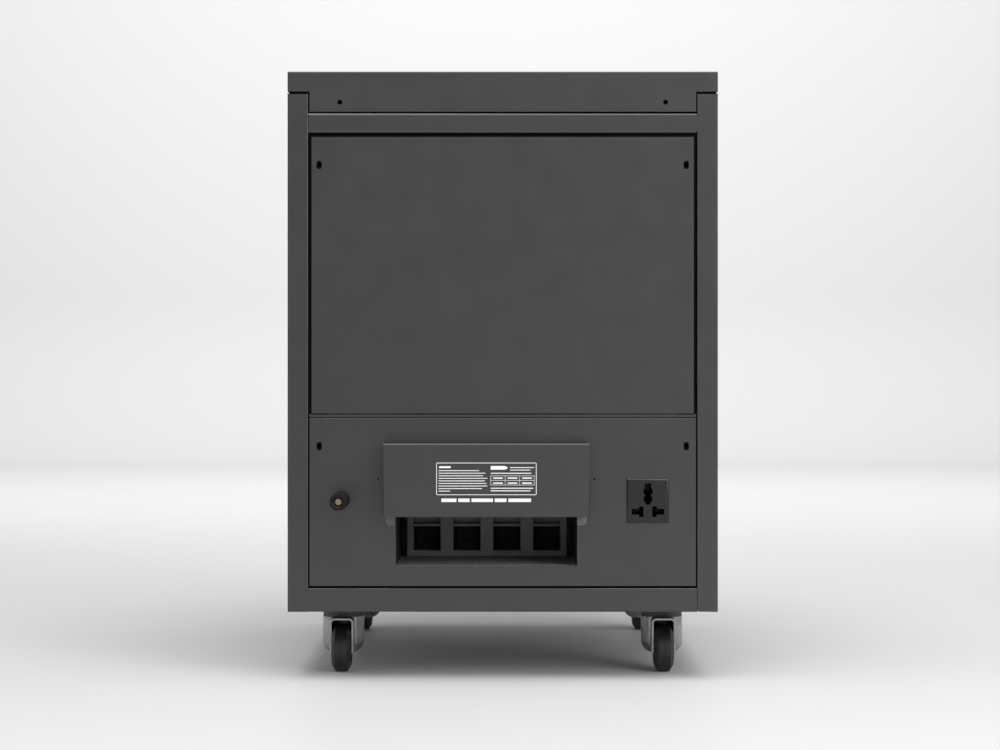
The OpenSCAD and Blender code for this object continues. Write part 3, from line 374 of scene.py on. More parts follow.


# The clamps are dark grey as painted shade for the depth of their chambers.
clamp_painted_shade = finish(
    "painted_shade_on_clamps", "#262628", 0.8, grain=(1.0, 0.02, 0.4), Specular_IOR_Level=0.15
)
laminated = finish(
    "varnished_transformer_steel",
    "#4a4c50",
    0.45,
    0.6,
    mottle=(laminations, "#3b3d41", "#5a5c60"),
    grain=(laminations, 0.05, 1.0),
)
cast_metal = finish("cast_aluminium", "#a9abad", 0.5, 1.0, wander=(5, 0.42, 0.58), grain=(2.0, 0.06, 0.6))
motor_paint = finish("hammered_grey_paint", "#34363a", 0.4, grain=(3.0, 0.08, 0.7, 1.0))
solder_mask = finish("green_solder_mask", "#0f4a26", 0.35, mottle=(tracks, "#0d4322", "#1b6a3a"), IOR=1.5)
varnish_tape = finish(
    "amber_varnished_tape",
    "#7d5a24",
    0.4,
    mottle=(12, "#6e4d1c", "#8f6a30"),
    grain=(2.0, 0.05, 0.5),
    IOR=1.5,
)

# %% [markdown]
# ### Front mouldings
# The breaker is white thermoset, the buttons are grey ABS, and the display window is smoked acrylic,
# glossy enough to mirror the room. The marks on the cover are white screen ink.

# %% Front materials
white_moulding = finish("white_thermoset", "#dcdedb", 0.42, mottle=(10, "#d8dad7", "#e2e3e0"), IOR=1.5)
grey_abs = finish("grey_abs", "#8c8e90", 0.36, wander=(3, 0.3, 0.44), IOR=1.5)
window = finish("smoked_acrylic", "#080b0d", 0.06, wander=(40, 0.05, 0.09), IOR=1.49)
ghost_segment = finish("unlit_display_segment", "#20282a", 0.25, wander=(2, 0.2, 0.3))
screen_ink = finish("white_screen_ink", "#f2f2f1", 0.6, mottle=(1.5, "#ececeb", "#f6f6f5"))
print("materials:", len(bpy.data.materials))

# %% [markdown]
# ## Floor and light
# A pale seamless floor curves up into a pale wall, as in a catalogue studio. A large soft panel hangs
# overhead, a second stands to the right, so that side of every bend is a little brighter, and a long
# third one washes the wall.

# %% Floor and backdrop
studio = finish("pale_studio_paint", "#d5d5d5", 0.5, wander=(400, 0.45, 0.55), Specular_IOR_Level=0.04)
floor_half_width = 8.0
floor_front = -8.0
wall_y = 5.0
wall_top = 7.0
sweep_radius = 0.6
profile = [(floor_front, 0.0), (wall_y, 0.0)]
for step in range(1, 11):
    angle = math.radians(9 * step)
    rise = sweep_radius * (1 - math.cos(angle))
    profile.append((wall_y + sweep_radius * math.sin(angle), rise))
profile.append((wall_y + sweep_radius, wall_top))
sweep = bmesh.new()
rows = [[sweep.verts.new((x, y, z)) for y, z in profile] for x in (-floor_half_width, floor_half_width)]
for i in range(len(profile) - 1):
    sweep.faces.new((rows[0][i], rows[1][i], rows[1][i + 1], rows[0][i + 1])).smooth = True
mesh = bpy.data.meshes.new("studio_floor")
sweep.to_mesh(mesh)
sweep.free()
floor = bpy.data.objects.new("studio_floor", mesh)
floor.data.materials.append(studio)
bpy.context.collection.objects.link(floor)


# %% Lights
def panel_light(name, place, target, size, power):
    """A rectangular soft light that looks at a point."""
    light = bpy.data.lights.new(name, "AREA")
    light.shape = "RECTANGLE"
    light.size, light.size_y = size
    light.energy = power
    holder = bpy.data.objects.new(name, light)
    holder.location = place
    holder.rotation_euler = (Vector(target) - Vector(place)).to_track_quat("-Z", "Y").to_euler()
    bpy.context.collection.objects.link(holder)


panel_light("overhead", (0.1, -1.1, 2.6), (0.05, -0.6, 0.2), (2.2, 2.2), 58)
panel_light("window_right", (2.0, -2.2, 1.2), (0.1, -0.2, 0.35), (1.4, 1.4), 34)
panel_light("wall_wash", (0, 2.2, 3.4), (0, 5.4, 1.2), (5.0, 0.8), 150)
world = bpy.data.worlds.new("studio")
world.use_nodes = True
world.node_tree.nodes["Background"].inputs["Color"].default_value = colour("#f2f2f2")
world.node_tree.nodes["Background"].inputs["Strength"].default_value = 0.64
bpy.context.scene.world = world
bpy.context.scene.view_settings.view_transform = "Standard"

# %% [markdown]
# ## Finishing a piece
# Every finished piece goes through one function: it turns the working mesh into an object, smooths the
# shading up to a chosen angle, gives it a finish, hangs it on the body it rides on and hides the
# engineering nodes it stands for. Smooth shading would also bend the light on large flat faces next to a
# rounded edge, so those faces are given their own true normals.

# %% Finish a piece
record = frame["record"]
body_of_node = {node: body for body, nodes in record["behaviour"]["bodies"].items() for node in nodes}
slot_of_node = {entry["node"]: entry["material_slot"] for entry in record["subparts"]}
LARGE_FACE = 40 * MM * MM


def settle(piece):
    """Turns what the modifiers make into the piece's own mesh, and removes them."""
    shape = piece.evaluated_get(bpy.context.evaluated_depsgraph_get())
    settled = bpy.data.meshes.new_from_object(shape)
    piece.modifiers.clear()
    piece.data = settled
    normals = [corner.vector.copy() for corner in settled.corner_normals]
    for face in settled.polygons:
        if face.area > LARGE_FACE:
            for corner in face.loop_indices:
                normals[corner] = face.normal.copy()
    settled.normals_split_custom_set(normals)


def finish_piece(bm, name, materials, body, slot=None, stands_for=(), smooth_deg=35):
    """Makes the object. materials is one finish or a list of them in face-index order."""
    bmesh.ops.recalc_face_normals(bm, faces=bm.faces)
    mesh = bpy.data.meshes.new(name)
    bm.to_mesh(mesh)
    bm.free()
    mesh.shade_smooth()
    mesh.set_sharp_from_angle(angle=math.radians(smooth_deg))
    for material in materials if isinstance(materials, list) else [materials]:
        mesh.materials.append(material)
    piece = bpy.data.objects.new(name, mesh)
    bpy.context.collection.objects.link(piece)
    weighting = piece.modifiers.new("flat faces stay flat", "WEIGHTED_NORMAL")
    weighting.keep_sharp = True
    settle(piece)
    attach(piece, body)
    if stands_for:
        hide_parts(*stands_for)
        slot = slot or slot_of_node[stands_for[0]]
    return piece


# %% [markdown]
# ## Folded sheet metal
# Real sheet is bent, so its outer corners are round and catch the light as thin bright lines, while its
# cut edges are nearly square. The rule that tells them apart is simple: at a bend both faces are wide,
# and at a cut edge one of them is only as wide as the sheet is thick. Level bends get a radius of one or
# two millimetres, upright ones are tighter, and cut edges get a hairline break of a third of one.


# %% Round bends and break edges
def working_copy(node):
    """A welded copy of a node's mesh, with its flat faces joined up."""
    bm = bmesh.new()
    bm.from_mesh(frame["nodes"][node].data)
    bmesh.ops.remove_doubles(bm, verts=bm.verts, dist=0.002 * MM)
    bmesh.ops.dissolve_limit(bm, angle_limit=math.radians(0.6), verts=bm.verts, edges=bm.edges)
    return bm


def face_width(face, edge):
    """How far a face reaches away from one of its edges, if it is about a rectangle."""
    return face.calc_area() / max(edge.calc_length(), 1e-6)


def sharp_convex(edge, degrees=40):
    """True for an outer edge that turns by more than this."""
    return len(edge.link_faces) == 2 and edge.calc_face_angle_signed(0) > math.radians(degrees)


def round_edges(bm, edges, radius_mm, segments, clamp=True, profile=0.5):
    """Bevels edges and returns the new faces. A profile under 0.5 is flatter than a circle."""
    if edges:
        return bmesh.ops.bevel(
            bm,
            geom=edges,
            offset=radius_mm * MM,
            segments=segments,
            affect="EDGES",
            profile=profile,
            clamp_overlap=clamp,
        )["faces"]
    return []


def fold_sheet(bm, bend_mm, break_mm=0.3, upright_mm=0.8):
    """Rounds the bends of a sheet piece, then breaks its longer cut edges."""
    wide, long, shortest_cut = 3.2 * MM, 6 * MM, 4 * MM

    def bend_edges(upright):
        return [
            e
            for e in bm.edges
            if sharp_convex(e)
            and e.calc_length() > long
            and all(face_width(f, e) > wide for f in e.link_faces)
            and (abs(e.verts[0].co.z - e.verts[1].co.z) > long) == upright
        ]

    bends = len(bend_edges(True)) + len(bend_edges(False))
    if bend_mm:
        if upright_mm:
            round_edges(bm, bend_edges(True), min(bend_mm, upright_mm), 2, clamp=False)
        round_edges(bm, bend_edges(False), bend_mm, 4, clamp=False, profile=0.36)
    if break_mm:
        cuts = [e for e in bm.edges if sharp_convex(e) and e.calc_length() > shortest_cut]
        round_edges(bm, cuts, break_mm, 1, clamp=False)
    return bends


front_y = box_of("post_front_left")[1].y
middle_y = (rear_y + front_y) / 2
post_inner_x = box_of("rear_lower_panel")[1].x
post_inner_y = box_of("side_panel_right")[1].y - middle_y
skirt_z = box_of("lid")[0].z


def hidden_behind_panels(centre):
    """True for a face inside the skin of the cabinet, such as a flange behind a panel."""
    deep = 2.2 * MM
    in_a_post = abs(centre.x) > post_inner_x - MM and abs(centre.y - middle_y) > post_inner_y - MM
    return (
        abs(centre.x) < cad_box[1][0] - deep
        and rear_y + deep < centre.y < front_y - deep
        and not in_a_post
    )


def fold_node(node, materials, bend_mm, prepare=None, **options):
    """Folds one node. With two finishes, the second goes to the faces inside the skin and under the lid.

    prepare, if given, edits the mesh first and chooses the finish of each face itself.
    """
    bm = working_copy(node)
    if prepare:
        prepare(bm)
    bends = fold_sheet(bm, bend_mm, **options)
    if isinstance(materials, list) and not prepare:
        for face in bm.faces:
            centre = face.calc_center_median()
            under_lid = node.startswith("post_") and centre.z > skirt_z
            face.material_index = int(hidden_behind_panels(centre) or under_lid)
    piece = finish_piece(bm, "fold_" + node, materials, body_of_node[node], stands_for=[node])
    print(node, "bends:", bends, "faces:", len(piece.data.polygons))


# %% [markdown]
# ## Frame, lid and panels
# The posts and rails are rolled tubes, so all their long edges are bends. The lid is a folded tray with
# welded corners. The panels are flat blanks, whose edges are only broken. Faces inside the skin get a
# second finish: on the posts and rails it is near black painted shade for the gaps round the panels, and
# on the lid it is primed inner steel.

# %% Posts, rails, lid
# The posts and rails carry near black painted shade on their faces inside the skin and under the lid.
for corner in CORNERS:
    fold_node("post_" + corner, [powder, painted_gap_shade], 2.0)
for node in ("bottom_rails", "top_rails"):
    fold_node(node, [powder, painted_gap_shade], 2.4)
fold_node("lid", [powder, inner_steel], 0.9, upright_mm=0)
fold_node("base_plate", powder, 0)


# %% Panels
def soften_entry(bm):
    """Rounds the cable entry's two upright edges, which wires would chafe on, and paints a highlight on them.
    """
    low, high = box_of("cable_tray")
    long_side = 50 * MM
    sides = [
        e
        for e in bm.edges
        if sharp_convex(e)
        and e.calc_length() > long_side
        and abs(e.verts[0].co.x - e.verts[1].co.x) < 0.1 * MM
        and low.x < e.verts[0].co.x < high.x
        and max(v.co.y for v in e.verts) < low.y - 0.5 * MM
    ]
    for face in round_edges(bm, sides, 0.9, 2, clamp=False):
        face.material_index = 1


for node in ("rear_upper_panel", "front_panel", "side_panel_left", "side_panel_right"):
    fold_node(node, powder, 0, break_mm=0.35)
# The rounded entry edges take a lighter grey, a painted highlight.
fold_node("rear_lower_panel", [powder, painted_edge_highlight], 0, prepare=soften_entry, break_mm=0.35)

# %% [markdown]
# ## Shelf, tray and brackets
# These are smaller folded pieces in thinner finishes. The bracket plates behind the cover are galvanised,
# and their ears carry the hinge pin.


# %% Small folded pieces
def paint_wall_shade(bm):
    """The upright walls of the tray carry the painted recess shade."""
    for face in bm.faces:
        face.normal_update()
        face.material_index = int(abs(face.normal.x) > 0.7)


fold_node("shelf", [powder, inner_steel], 1.2)
fold_node("shelf_rails", inner_steel, 1.2)
# The tray's floor takes the lighter painted light and its walls the painted recess shade.
fold_node("cable_tray", [tray_grain_and_painted_light, painted_recess_shade], 0, prepare=paint_wall_shade, break_mm=0)
fold_node("cover_brackets", galvanised, 0, break_mm=0.2)
fold_node("motor_bridge", zinc, 1.5)
fold_node("terminal_cover", powder, 2.0)
fold_node("cover_hinge_pin", zinc, 0, break_mm=0.2)

# %% [markdown]
# ## Turned pieces
# Knobs, studs, wheels and collars are made on a lathe, and code can do the same: draw half the outline
# and spin it round an axis. The outline is a list of (radius, distance along the axis) in millimetres.


# %% Turn an outline
def turned(bm, outline, origin, axis, steps=64):
    """Spins an outline round an axis through origin, and returns the faces. A radius of 0 closes the end."""
    start = Vector(origin)
    turn_to = Vector((0, 0, 1)).rotation_difference(Vector(axis).normalized()).to_matrix()
    rings = []
    for radius, along in outline:
        if radius == 0:
            rings.append([bm.verts.new(start + turn_to @ Vector((0, 0, along * MM)))])
            continue
        ring = []
        for k in range(steps):
            angle = 2 * math.pi * k / steps
            place = Vector((radius * MM * math.cos(angle), radius * MM * math.sin(angle), along * MM))
            ring.append(bm.verts.new(start + turn_to @ place))
        rings.append(ring)
    faces = []
    for a, b in zip(rings, rings[1:]):
        for k in range(steps):
            n = (k + 1) % steps
            if len(a) == 1:
                faces.append(bm.faces.new((a[0], b[n], b[k])))
            elif len(b) == 1:
                faces.append(bm.faces.new((a[k], a[n], b[0])))
            else:
                faces.append(bm.faces.new((a[k], a[n], b[n], b[k])))
    if len(rings[0]) > 1 and len(rings[-1]) > 1:
        for k in range(steps):
            n = (k + 1) % steps
            faces.append(bm.faces.new((rings[-1][k], rings[-1][n], rings[0][n], rings[0][k])))
    return faces


def block(bm, low, high, round_mm=0.0, index=0):
    """A box between two corners in metres, with all its edges rounded where round_mm isn't 0."""
    made = bmesh.ops.create_cube(bm, size=1)["verts"]
    low, high = Vector(low), Vector(high)
    size = high - low
    for v in made:
        v.co = Vector([low[i] + (v.co[i] + 0.5) * size[i] for i in range(3)])
    faces = list({f for v in made for f in v.link_faces})
    if round_mm:
        edges = list({e for v in made for e in v.link_edges})
        rounded = round_edges(bm, edges, round_mm, 2, clamp=False)
        faces = set(rounded) | {f for f in faces if f.is_valid}
    for f in faces:
        f.material_index = index


def softened_copy(node, radius_mm, segments, shortest_mm=0.0):
    """A copy of a node's mesh with its sharp outer edges rounded, apart from those that are too short."""
    bm = working_copy(node)
    edges = [e for e in bm.edges if sharp_convex(e, 50) and e.calc_length() > shortest_mm * MM]
    round_edges(bm, edges, radius_mm, segments)
    return bm


# %% [markdown]
# ## Earth post
# A knurled phenolic knob clamps an earth lead against an insulating collar. Its face is dished, and the
# brass stud shows at the bottom of the dish. The knurl is a ring of fine flutes round two bands, with a
# narrow waist between them. Every second point of a band is pushed in, which makes the flutes.

# %% Earth post
stud_low, stud_high = box_of("earth_stud")
post_centre = centre_of("earth_knob")
knob_low, knob_high = box_of("earth_knob")
knob_mm = (knob_high.y - knob_low.y) * 1000
knob_r = (knob_high.x - knob_low.x) * 500
stud_r = 3.9
bore_r = stud_r + 0.05
band_r = knob_r - 0.1
waist_r = knob_r - 1.1
flute_mm = 0.45
flute_points = 96
out = (0, -1, 0)
knob_foot = Vector((post_centre.x, knob_high.y, post_centre.z))
bm = bmesh.new()
turned(
    bm,
    [
        (bore_r, 0.0),
        (knob_r - 0.8, 0.0),
        (band_r, 0.6),
        (band_r, 5.2),
        (waist_r, 6.2),
        (waist_r, knob_mm - 9.4),
        (band_r, knob_mm - 8.6),
        (band_r, knob_mm - 0.6),
        (knob_r - 0.15, knob_mm - 0.25),
        (knob_r - 0.5, knob_mm),
        (stud_r + 2.0, knob_mm - 0.2),
        (stud_r + 1.0, knob_mm - 0.9),
        (stud_r + 0.4, knob_mm - 2.2),
        (bore_r, knob_mm - 3.2),
    ],
    knob_foot,
    out,
    flute_points,
)
for v in bm.verts:
    spoke = Vector((v.co.x - knob_foot.x, 0, v.co.z - knob_foot.z))
    if abs(spoke.length * 1000 - band_r) < 0.05:
        k = round(math.atan2(spoke.z, spoke.x) / (2 * math.pi) * flute_points)
        reach = knob_r * MM if k % 2 == 0 else (knob_r - flute_mm) * MM
        v.co = Vector((knob_foot.x, v.co.y, knob_foot.z)) + spoke.normalized() * reach
finish_piece(bm, "knurled_earth_knob", knob_black, "earth_knob", stands_for=["earth_knob"], smooth_deg=28)

# %% Stud, nut and collar
bm = bmesh.new()
stud_mm = (stud_high.y - stud_low.y) * 1000
turned(
    bm,
    [
        (0, 0),
        (stud_r - 0.6, 0),
        (stud_r, 0.6),
        (stud_r, stud_mm - 0.7),
        (stud_r - 0.7, stud_mm),
        (0, stud_mm),
    ],
    (post_centre.x, stud_high.y, post_centre.z),
    out,
    48,
)
nut_across_flats = 13
nut_r = nut_across_flats / 2 / math.cos(math.radians(30))
nut_t = 5.0
panel_back = box_of("rear_lower_panel")[1].y
turned(
    bm,
    [
        (stud_r, 0),
        (nut_r - 0.5, 0),
        (nut_r, 0.4),
        (nut_r, nut_t - 0.4),
        (nut_r - 0.5, nut_t),
        (stud_r, nut_t),
    ],
    (post_centre.x, panel_back + nut_t * MM, post_centre.z),
    out,
    6,
)
finish_piece(bm, "earth_stud_and_nut", brass, "cabinet", stands_for=["earth_stud"])

collar_low, collar_high = box_of("earth_collar")
collar_r = (collar_high.x - collar_low.x) * 500
collar_mm = (collar_high.y - collar_low.y) * 1000
bm = bmesh.new()
turned(
    bm,
    [
        (stud_r, 0),
        (collar_r, 0),
        (collar_r, collar_mm - 1.2),
        (collar_r - 0.5, collar_mm - 0.3),
        (collar_r - 1.3, collar_mm),
        (stud_r, collar_mm),
    ],
    (post_centre.x, collar_high.y, post_centre.z),
    out,
)
finish_piece(bm, "earth_collar_turned", knob_black, "cabinet", stands_for=["earth_collar"])
print("earth post stands", round((panel_back - knob_low.y) * 1000, 1), "mm out")

# %% [markdown]
# ## Multi-standard outlet
# The outlet is one moulding with a raised bevelled frame. Its apertures take several plug shapes: a round
# and slotted earth above, and two crossed slots below. The apertures are cut into the engineering model,
# so a copy of that model keeps them exact. Each aperture gets a broken edge, and the plate's own edge
# gets a wide bevel, which is the bright line at its top. The shutters inside are black, and the walls of
# the apertures are painted near black too: painted shade for the dark inside the apertures.

# %% Outlet
outlet_low, outlet_high = box_of("outlet_body")
outlet_mid = (outlet_low + outlet_high) / 2
bm = working_copy("outlet_body")


def level_with(edge, axis, *places):
    """True if both ends of an edge lie in one of these planes across an axis, 0 for X to 2 for Z."""
    return any(all(abs(v.co[axis] - place) < 0.01 * MM for v in edge.verts) for place in places)


def on_plate_rim(edge):
    """The four outer edges of the outlet's front face."""
    on_side = level_with(edge, 0, outlet_low.x, outlet_high.x)
    return level_with(edge, 1, outlet_low.y) and (on_side or level_with(edge, 2, outlet_low.z, outlet_high.z))


def on_aperture(edge):
    """A sharp edge of an aperture on the front face, well inside the rim."""
    margin = 3 * MM
    inside = all(outlet_low.x + margin < v.co.x < outlet_high.x - margin for v in edge.verts)
    return sharp_convex(edge, 60) and level_with(edge, 1, outlet_low.y) and inside


round_edges(bm, [e for e in bm.edges if on_plate_rim(e)], 1.8, 3, clamp=False, profile=0.34)
lips = [e for e in bm.edges if on_aperture(e)]
round_edges(bm, lips, 0.35, 1)
# The walls inside the apertures take the near black painted shade.
for face in bm.faces:
    place = face.calc_center_median()
    inside = abs(place.x - outlet_mid.x) < 18 * MM and abs(place.z - outlet_mid.z) < 19 * MM
    face.material_index = int(inside and outlet_low.y + 1.5 * MM < place.y < outlet_high.y - MM)
finish_piece(bm, "outlet_moulding", [moulding, painted_gap_shade], "cabinet", stands_for=["outlet_body"])
print("aperture edges broken:", len(lips))

# %% [markdown]
# ## Terminal block
# Four wire chambers lie side by side with thick barriers between them, and an open bay above each holds
# the clamp screw. The barriers' front edges are rounded by the mould, and they catch the light. Deep
# inside, the chambers are painted dark grey, as painted shade for the dark at their back.

# %% Terminal block
bm = working_copy("terminal_block")
block_front = box_of("terminal_block")[0].y
recess_shade_depth = 20 * MM
front_edges = [e for e in bm.edges if sharp_convex(e, 60) and level_with(e, 1, block_front)]
round_edges(bm, front_edges, 0.9, 2)
# Faces deeper than this behind the front carry the painted recess shade.
for face in bm.faces:
    face.material_index = int(face.calc_center_median().y > block_front + recess_shade_depth)
finish_piece(bm, "terminal_moulding", [block_grey, painted_recess_shade], "cabinet", stands_for=["terminal_block"])
print("terminal block front edges rounded:", len(front_edges))

# %% [markdown]
# ## Cover notice
# The cover carries a printed plate. Here it is a blank form: an outline, a few ruled bars where writing
# would go, a small grid and a plain arrow tag, with no words. Print is a film of ink, so each mark is a
# flat solid only a tenth of a millimetre thick.

# %% Kinds of printed mark
cover_face = box_of("terminal_cover")[0].y
ink_front = cover_face - 0.08 * MM
ink_back = cover_face + 0.02 * MM
bm = bmesh.new()


def ink_box(x0, z0, x1, z1):
    """One printed bar between two corners, in millimetres."""
    block(bm, (x0 * MM, ink_front, z0 * MM), (x1 * MM, ink_back, z1 * MM))


def ink_lines(x, top, lengths, pitch, thick):
    """Bars under each other where lines of writing would be."""
    for row, length in enumerate(lengths):
        z = top - row * pitch
        ink_box(x, z, x + length, z + thick)


def corner_arcs(x0, z0, x1, z1, radius, angles):
    """The centre of each corner of a rounded frame, with the angles of its arc, in order round it."""
    for cx, cz, start in (
        (x1 - radius, z1 - radius, 0),
        (x0 + radius, z1 - radius, 90),
        (x0 + radius, z0 + radius, 180),
        (x1 - radius, z0 + radius, 270),
    ):
        for degrees in angles:
            yield cx, cz, math.radians(start + degrees)


def ink_outline(x0, z0, x1, z1, line, corner):
    """A printed frame with round corners."""
    arcs = list(corner_arcs(x0, z0, x1, z1, corner, [22.5 * k for k in range(5)]))
    rings = []
    for radius, y in (
        (corner, ink_front),
        (corner - line, ink_front),
        (corner - line, ink_back),
        (corner, ink_back),
    ):
        points = [(cx + radius * math.cos(a), cz + radius * math.sin(a)) for cx, cz, a in arcs]
        rings.append([bm.verts.new((x * MM, y, z * MM)) for x, z in points])
    for r in range(4):
        for k in range(len(arcs)):
            n = (k + 1) % len(arcs)
            bm.faces.new((rings[r][k], rings[r][n], rings[(r + 1) % 4][n], rings[(r + 1) % 4][k]))


def ink_tag(x, z0, z1, length, point):
    """A bar that ends in an arrow point."""
    outline = [(x, z0), (x + length, z0), (x + point, (z0 + z1) / 2), (x + length, z1), (x, z1)]
    near, far = ([bm.verts.new((px * MM, y, pz * MM)) for px, pz in outline] for y in (ink_front, ink_back))
    bm.faces.new(near)
    bm.faces.new(far[::-1])
    for k in range(5):
        bm.faces.new((near[k], near[(k + 1) % 5], far[(k + 1) % 5], far[k]))


# %% Printed marks
plate_x0, plate_x1, plate_z0, plate_z1 = -68.9, 35.0, 195.4, 228.9
row_pitch = 2.65
column_2 = -12.5
tag_z0, tag_z1 = plate_z1 - 7.2, plate_z1 - 3.4
ink_outline(plate_x0, plate_z0, plate_x1, plate_z1, 0.6, 1.2)
ink_box(plate_x0 + 3, plate_z1 - 5.6, plate_x0 + 15, plate_z1 - 3.6)
ink_lines(plate_x0 + 2.4, plate_z1 - 8.6, (42, 48.5, 46, 50.5, 48, 49.5, 50.5, 45, 12), row_pitch, 0.75)
ink_lines(column_2 + 20, plate_z1 - 5.4, (24.99, 21.07), 2.6, 0.75)
ink_tag(column_2, tag_z0, tag_z1, 15, 18)
ink_box(column_2, plate_z1 - 11.4, column_2 + 42, plate_z1 - 10.5)

grid_z0, grid_z1 = plate_z0 + 10.4, plate_z1 - 13.6
grid_x1 = plate_x1 - 2.5
cell_w = (grid_x1 - column_2) / 3
half_line = 0.18
for z in (grid_z0, (grid_z0 + grid_z1) / 2, grid_z1):
    ink_box(column_2, z - half_line, grid_x1, z + half_line)
for k in range(4):
    x = column_2 + k * cell_w
    ink_box(x - half_line, grid_z0, x + half_line, grid_z1)
for k in range(3):
    for z in (grid_z0 + 1.9, grid_z0 + 7.1):
        x = column_2 + 2.6 + k * cell_w
        ink_box(x, z - 0.6, x + 10, z + 0.7)
ink_lines(column_2, plate_z0 + 6.6, (44, 41), row_pitch, 0.9)

bold_z0, bold_z1 = 188.2, 191.8
bold_gap = 1.9
x = -63.6
for length in (15.6, 11.8, 22.2, 12.2, 23.4):
    ink_box(x, bold_z0, x + length, bold_z1)
    x += length + bold_gap
finish_piece(bm, "blank_notice_print", screen_ink, "cover", slot="cabinet_paint", smooth_deg=20)
print("notice spans", round(plate_x1 - plate_x0, 1), "mm")

# %% [markdown]
# ## Castors
# Each castor is a pressed fork with a round hood over the swivel race and an inverted channel round the
# wheel. The wheel is a black tyre on a hub, with a moulding line round the middle of the tread. Fork and
# wheel ride on bodies of their own, so the castor swivels and rolls. The axle turns with the fork.


# %% Wheel, fork and axle for each corner
def wheel_outline(r, half, bore):
    """A tyre with chamfered shoulders, a shallow recess at each side and a hub boss."""
    hub, tread = 11.0, 6.9
    side = [
        (bore, half),
        (hub - 3, half),
        (hub - 1.6, half - 0.6),
        (hub + 2.6, half - 1.6),
        (r - 9.4, half - 1.6),
        (r - 8.2, half - 0.3),
        (r - 7.0, half),
        (r - 6.0, half),
        (r - 5.4, half - 0.5),
        (r - 0.7, tread),
        (r - 0.1, 6.5),
        (r, 6.1),
        (r, 0.5),
        (r - 0.25, 0.3),
    ]
    return [(radius, -along) for radius, along in side] + side[::-1]


def axle_outline(reach):
    """A shaft with a domed rivet head at each end."""
    head = [(0, reach), (2.4, reach), (3.6, reach - 0.35), (4.0, reach - 0.9), (3.0, reach - 1.0)]
    return [(radius, -along) for radius, along in head] + head[::-1]


for corner in CORNERS:
    wheel_node, fork_node, axle_node = (f"castor_{part}_{corner}" for part in ("wheel", "fork", "axle"))
    wheel, fork = "wheel_" + corner, "fork_" + corner
    low, high = box_of(wheel_node)
    wheel_r = (high.z - low.z) * 500
    half_wide = (high.x - low.x) * 500
    bm = bmesh.new()
    turned(bm, wheel_outline(wheel_r, half_wide, 3.05), centre_of(wheel_node), (1, 0, 0), 96)
    finish_piece(bm, "castor_tyre_" + corner, rubber, wheel, stands_for=[wheel_node], smooth_deg=25)

    bm = softened_copy(fork_node, 0.5, 2)
    finish_piece(bm, "castor_pressed_fork_" + corner, zinc, fork, stands_for=[fork_node], smooth_deg=40)

    low, high = box_of(axle_node)
    bm = bmesh.new()
    turned(bm, axle_outline((high.x - low.x) * 500), centre_of(axle_node), (1, 0, 0), 40)
    finish_piece(bm, "castor_axle_rivet_" + corner, zinc, fork, stands_for=[axle_node])
print("castors done:", len(CORNERS))

# %% Races, king pins and bolts
for node, material in (("castor_plates", inner_steel), ("castor_kingpins", zinc), ("fixing_bolts", zinc)):
    bm = softened_copy(node, 0.3, 1)
    finish_piece(bm, "plated_" + node, material, "cabinet", stands_for=[node])

# %% [markdown]
# ## Front controls
# The front has a meter window in a moulded bezel, two push buttons and a circuit breaker. Button tops are
# dished and their edges rounded. The meter's digits are unlit segments behind the smoked window.

# %% Bezel and breaker
for node, material, radius in (("display_bezel", moulding, 0.8), ("breaker_body", white_moulding, 0.6)):
    bm = softened_copy(node, radius, 2)
    finish_piece(bm, "moulded_" + node, material, "cabinet", stands_for=[node])


# %% Buttons
def button_outline(rim, length):
    """A cap on a shaft, seen from its rim inwards: flange, shaft and dished top."""
    shaft = rim - 2
    return [
        (0, 0),
        (rim, 0),
        (rim, 2),
        (shaft, 2),
        (shaft, length - 0.7),
        (shaft - 0.25, length - 0.2),
        (shaft - 0.8, length),
        (shaft - 1.6, length - 0.15),
        (shaft * 0.4, length - 0.55),
        (0, length - 0.65),
    ]


for node in ("button_left", "button_right"):
    low, high = box_of(node)
    middle = centre_of(node)
    outline = button_outline((high.x - low.x) * 500, (high.y - low.y) * 1000)
    bm = bmesh.new()
    turned(bm, outline, (middle.x, low.y, middle.z), (0, 1, 0))
    finish_piece(bm, "dished_" + node, grey_abs, node, stands_for=[node])

# %% Toggle and window
bm = softened_copy("breaker_lever", 0.8, 3)
finish_piece(bm, "moulded_toggle", knob_black, "breaker_lever", stands_for=["breaker_lever"])
bm = softened_copy("display_lens", 0.3, 2)
finish_piece(bm, "meter_window", window, "cabinet", stands_for=["display_lens"])

# %% Unlit digits
digit_y = box_of("display_lens")[1].y
lens_mid = centre_of("display_lens")
digit_w, digit_h, bar = 11 * MM, 20 * MM, 2.2 * MM
digit_pitch = 18 * MM
gap = 0.35 * MM
bm = bmesh.new()


def segment(x0, z0, x1, z1):
    block(bm, (x0, digit_y - 0.02 * MM, z0), (x1, digit_y + 0.06 * MM, z1))


for row_z in (12.5 * MM, -13.5 * MM):
    for k in range(4):
        left = lens_mid.x + (1.5 - k) * digit_pitch - digit_w / 2
        foot = lens_mid.z + row_z - digit_h / 2
        for level in (0, (digit_h - bar) / 2, digit_h - bar):
            segment(left + bar + gap, foot + level, left + digit_w - bar - gap, foot + level + bar)
        for side_x in (left, left + digit_w - bar):
            for level in (bar + gap, (digit_h + bar) / 2 + gap):
                top = level + (digit_h - 3 * bar) / 2 - 2 * gap
                segment(side_x, foot + level, side_x + bar, foot + top)
finish_piece(bm, "unlit_meter_digits", ghost_segment, "cabinet", slot="display_glass", smooth_deg=20)

# %% [markdown]
# ## Louvres
# A louvre is a slot whose upper lip is pressed inwards as a slanting blade, so air passes and drips and
# fingers don't. There are over two hundred, all alike and in straight columns, which is work for Geometry
# Nodes: one tree lays out a grid of points and puts a blade at each. The tree's inputs are the real
# sizes, and the result is turned into a plain mesh.


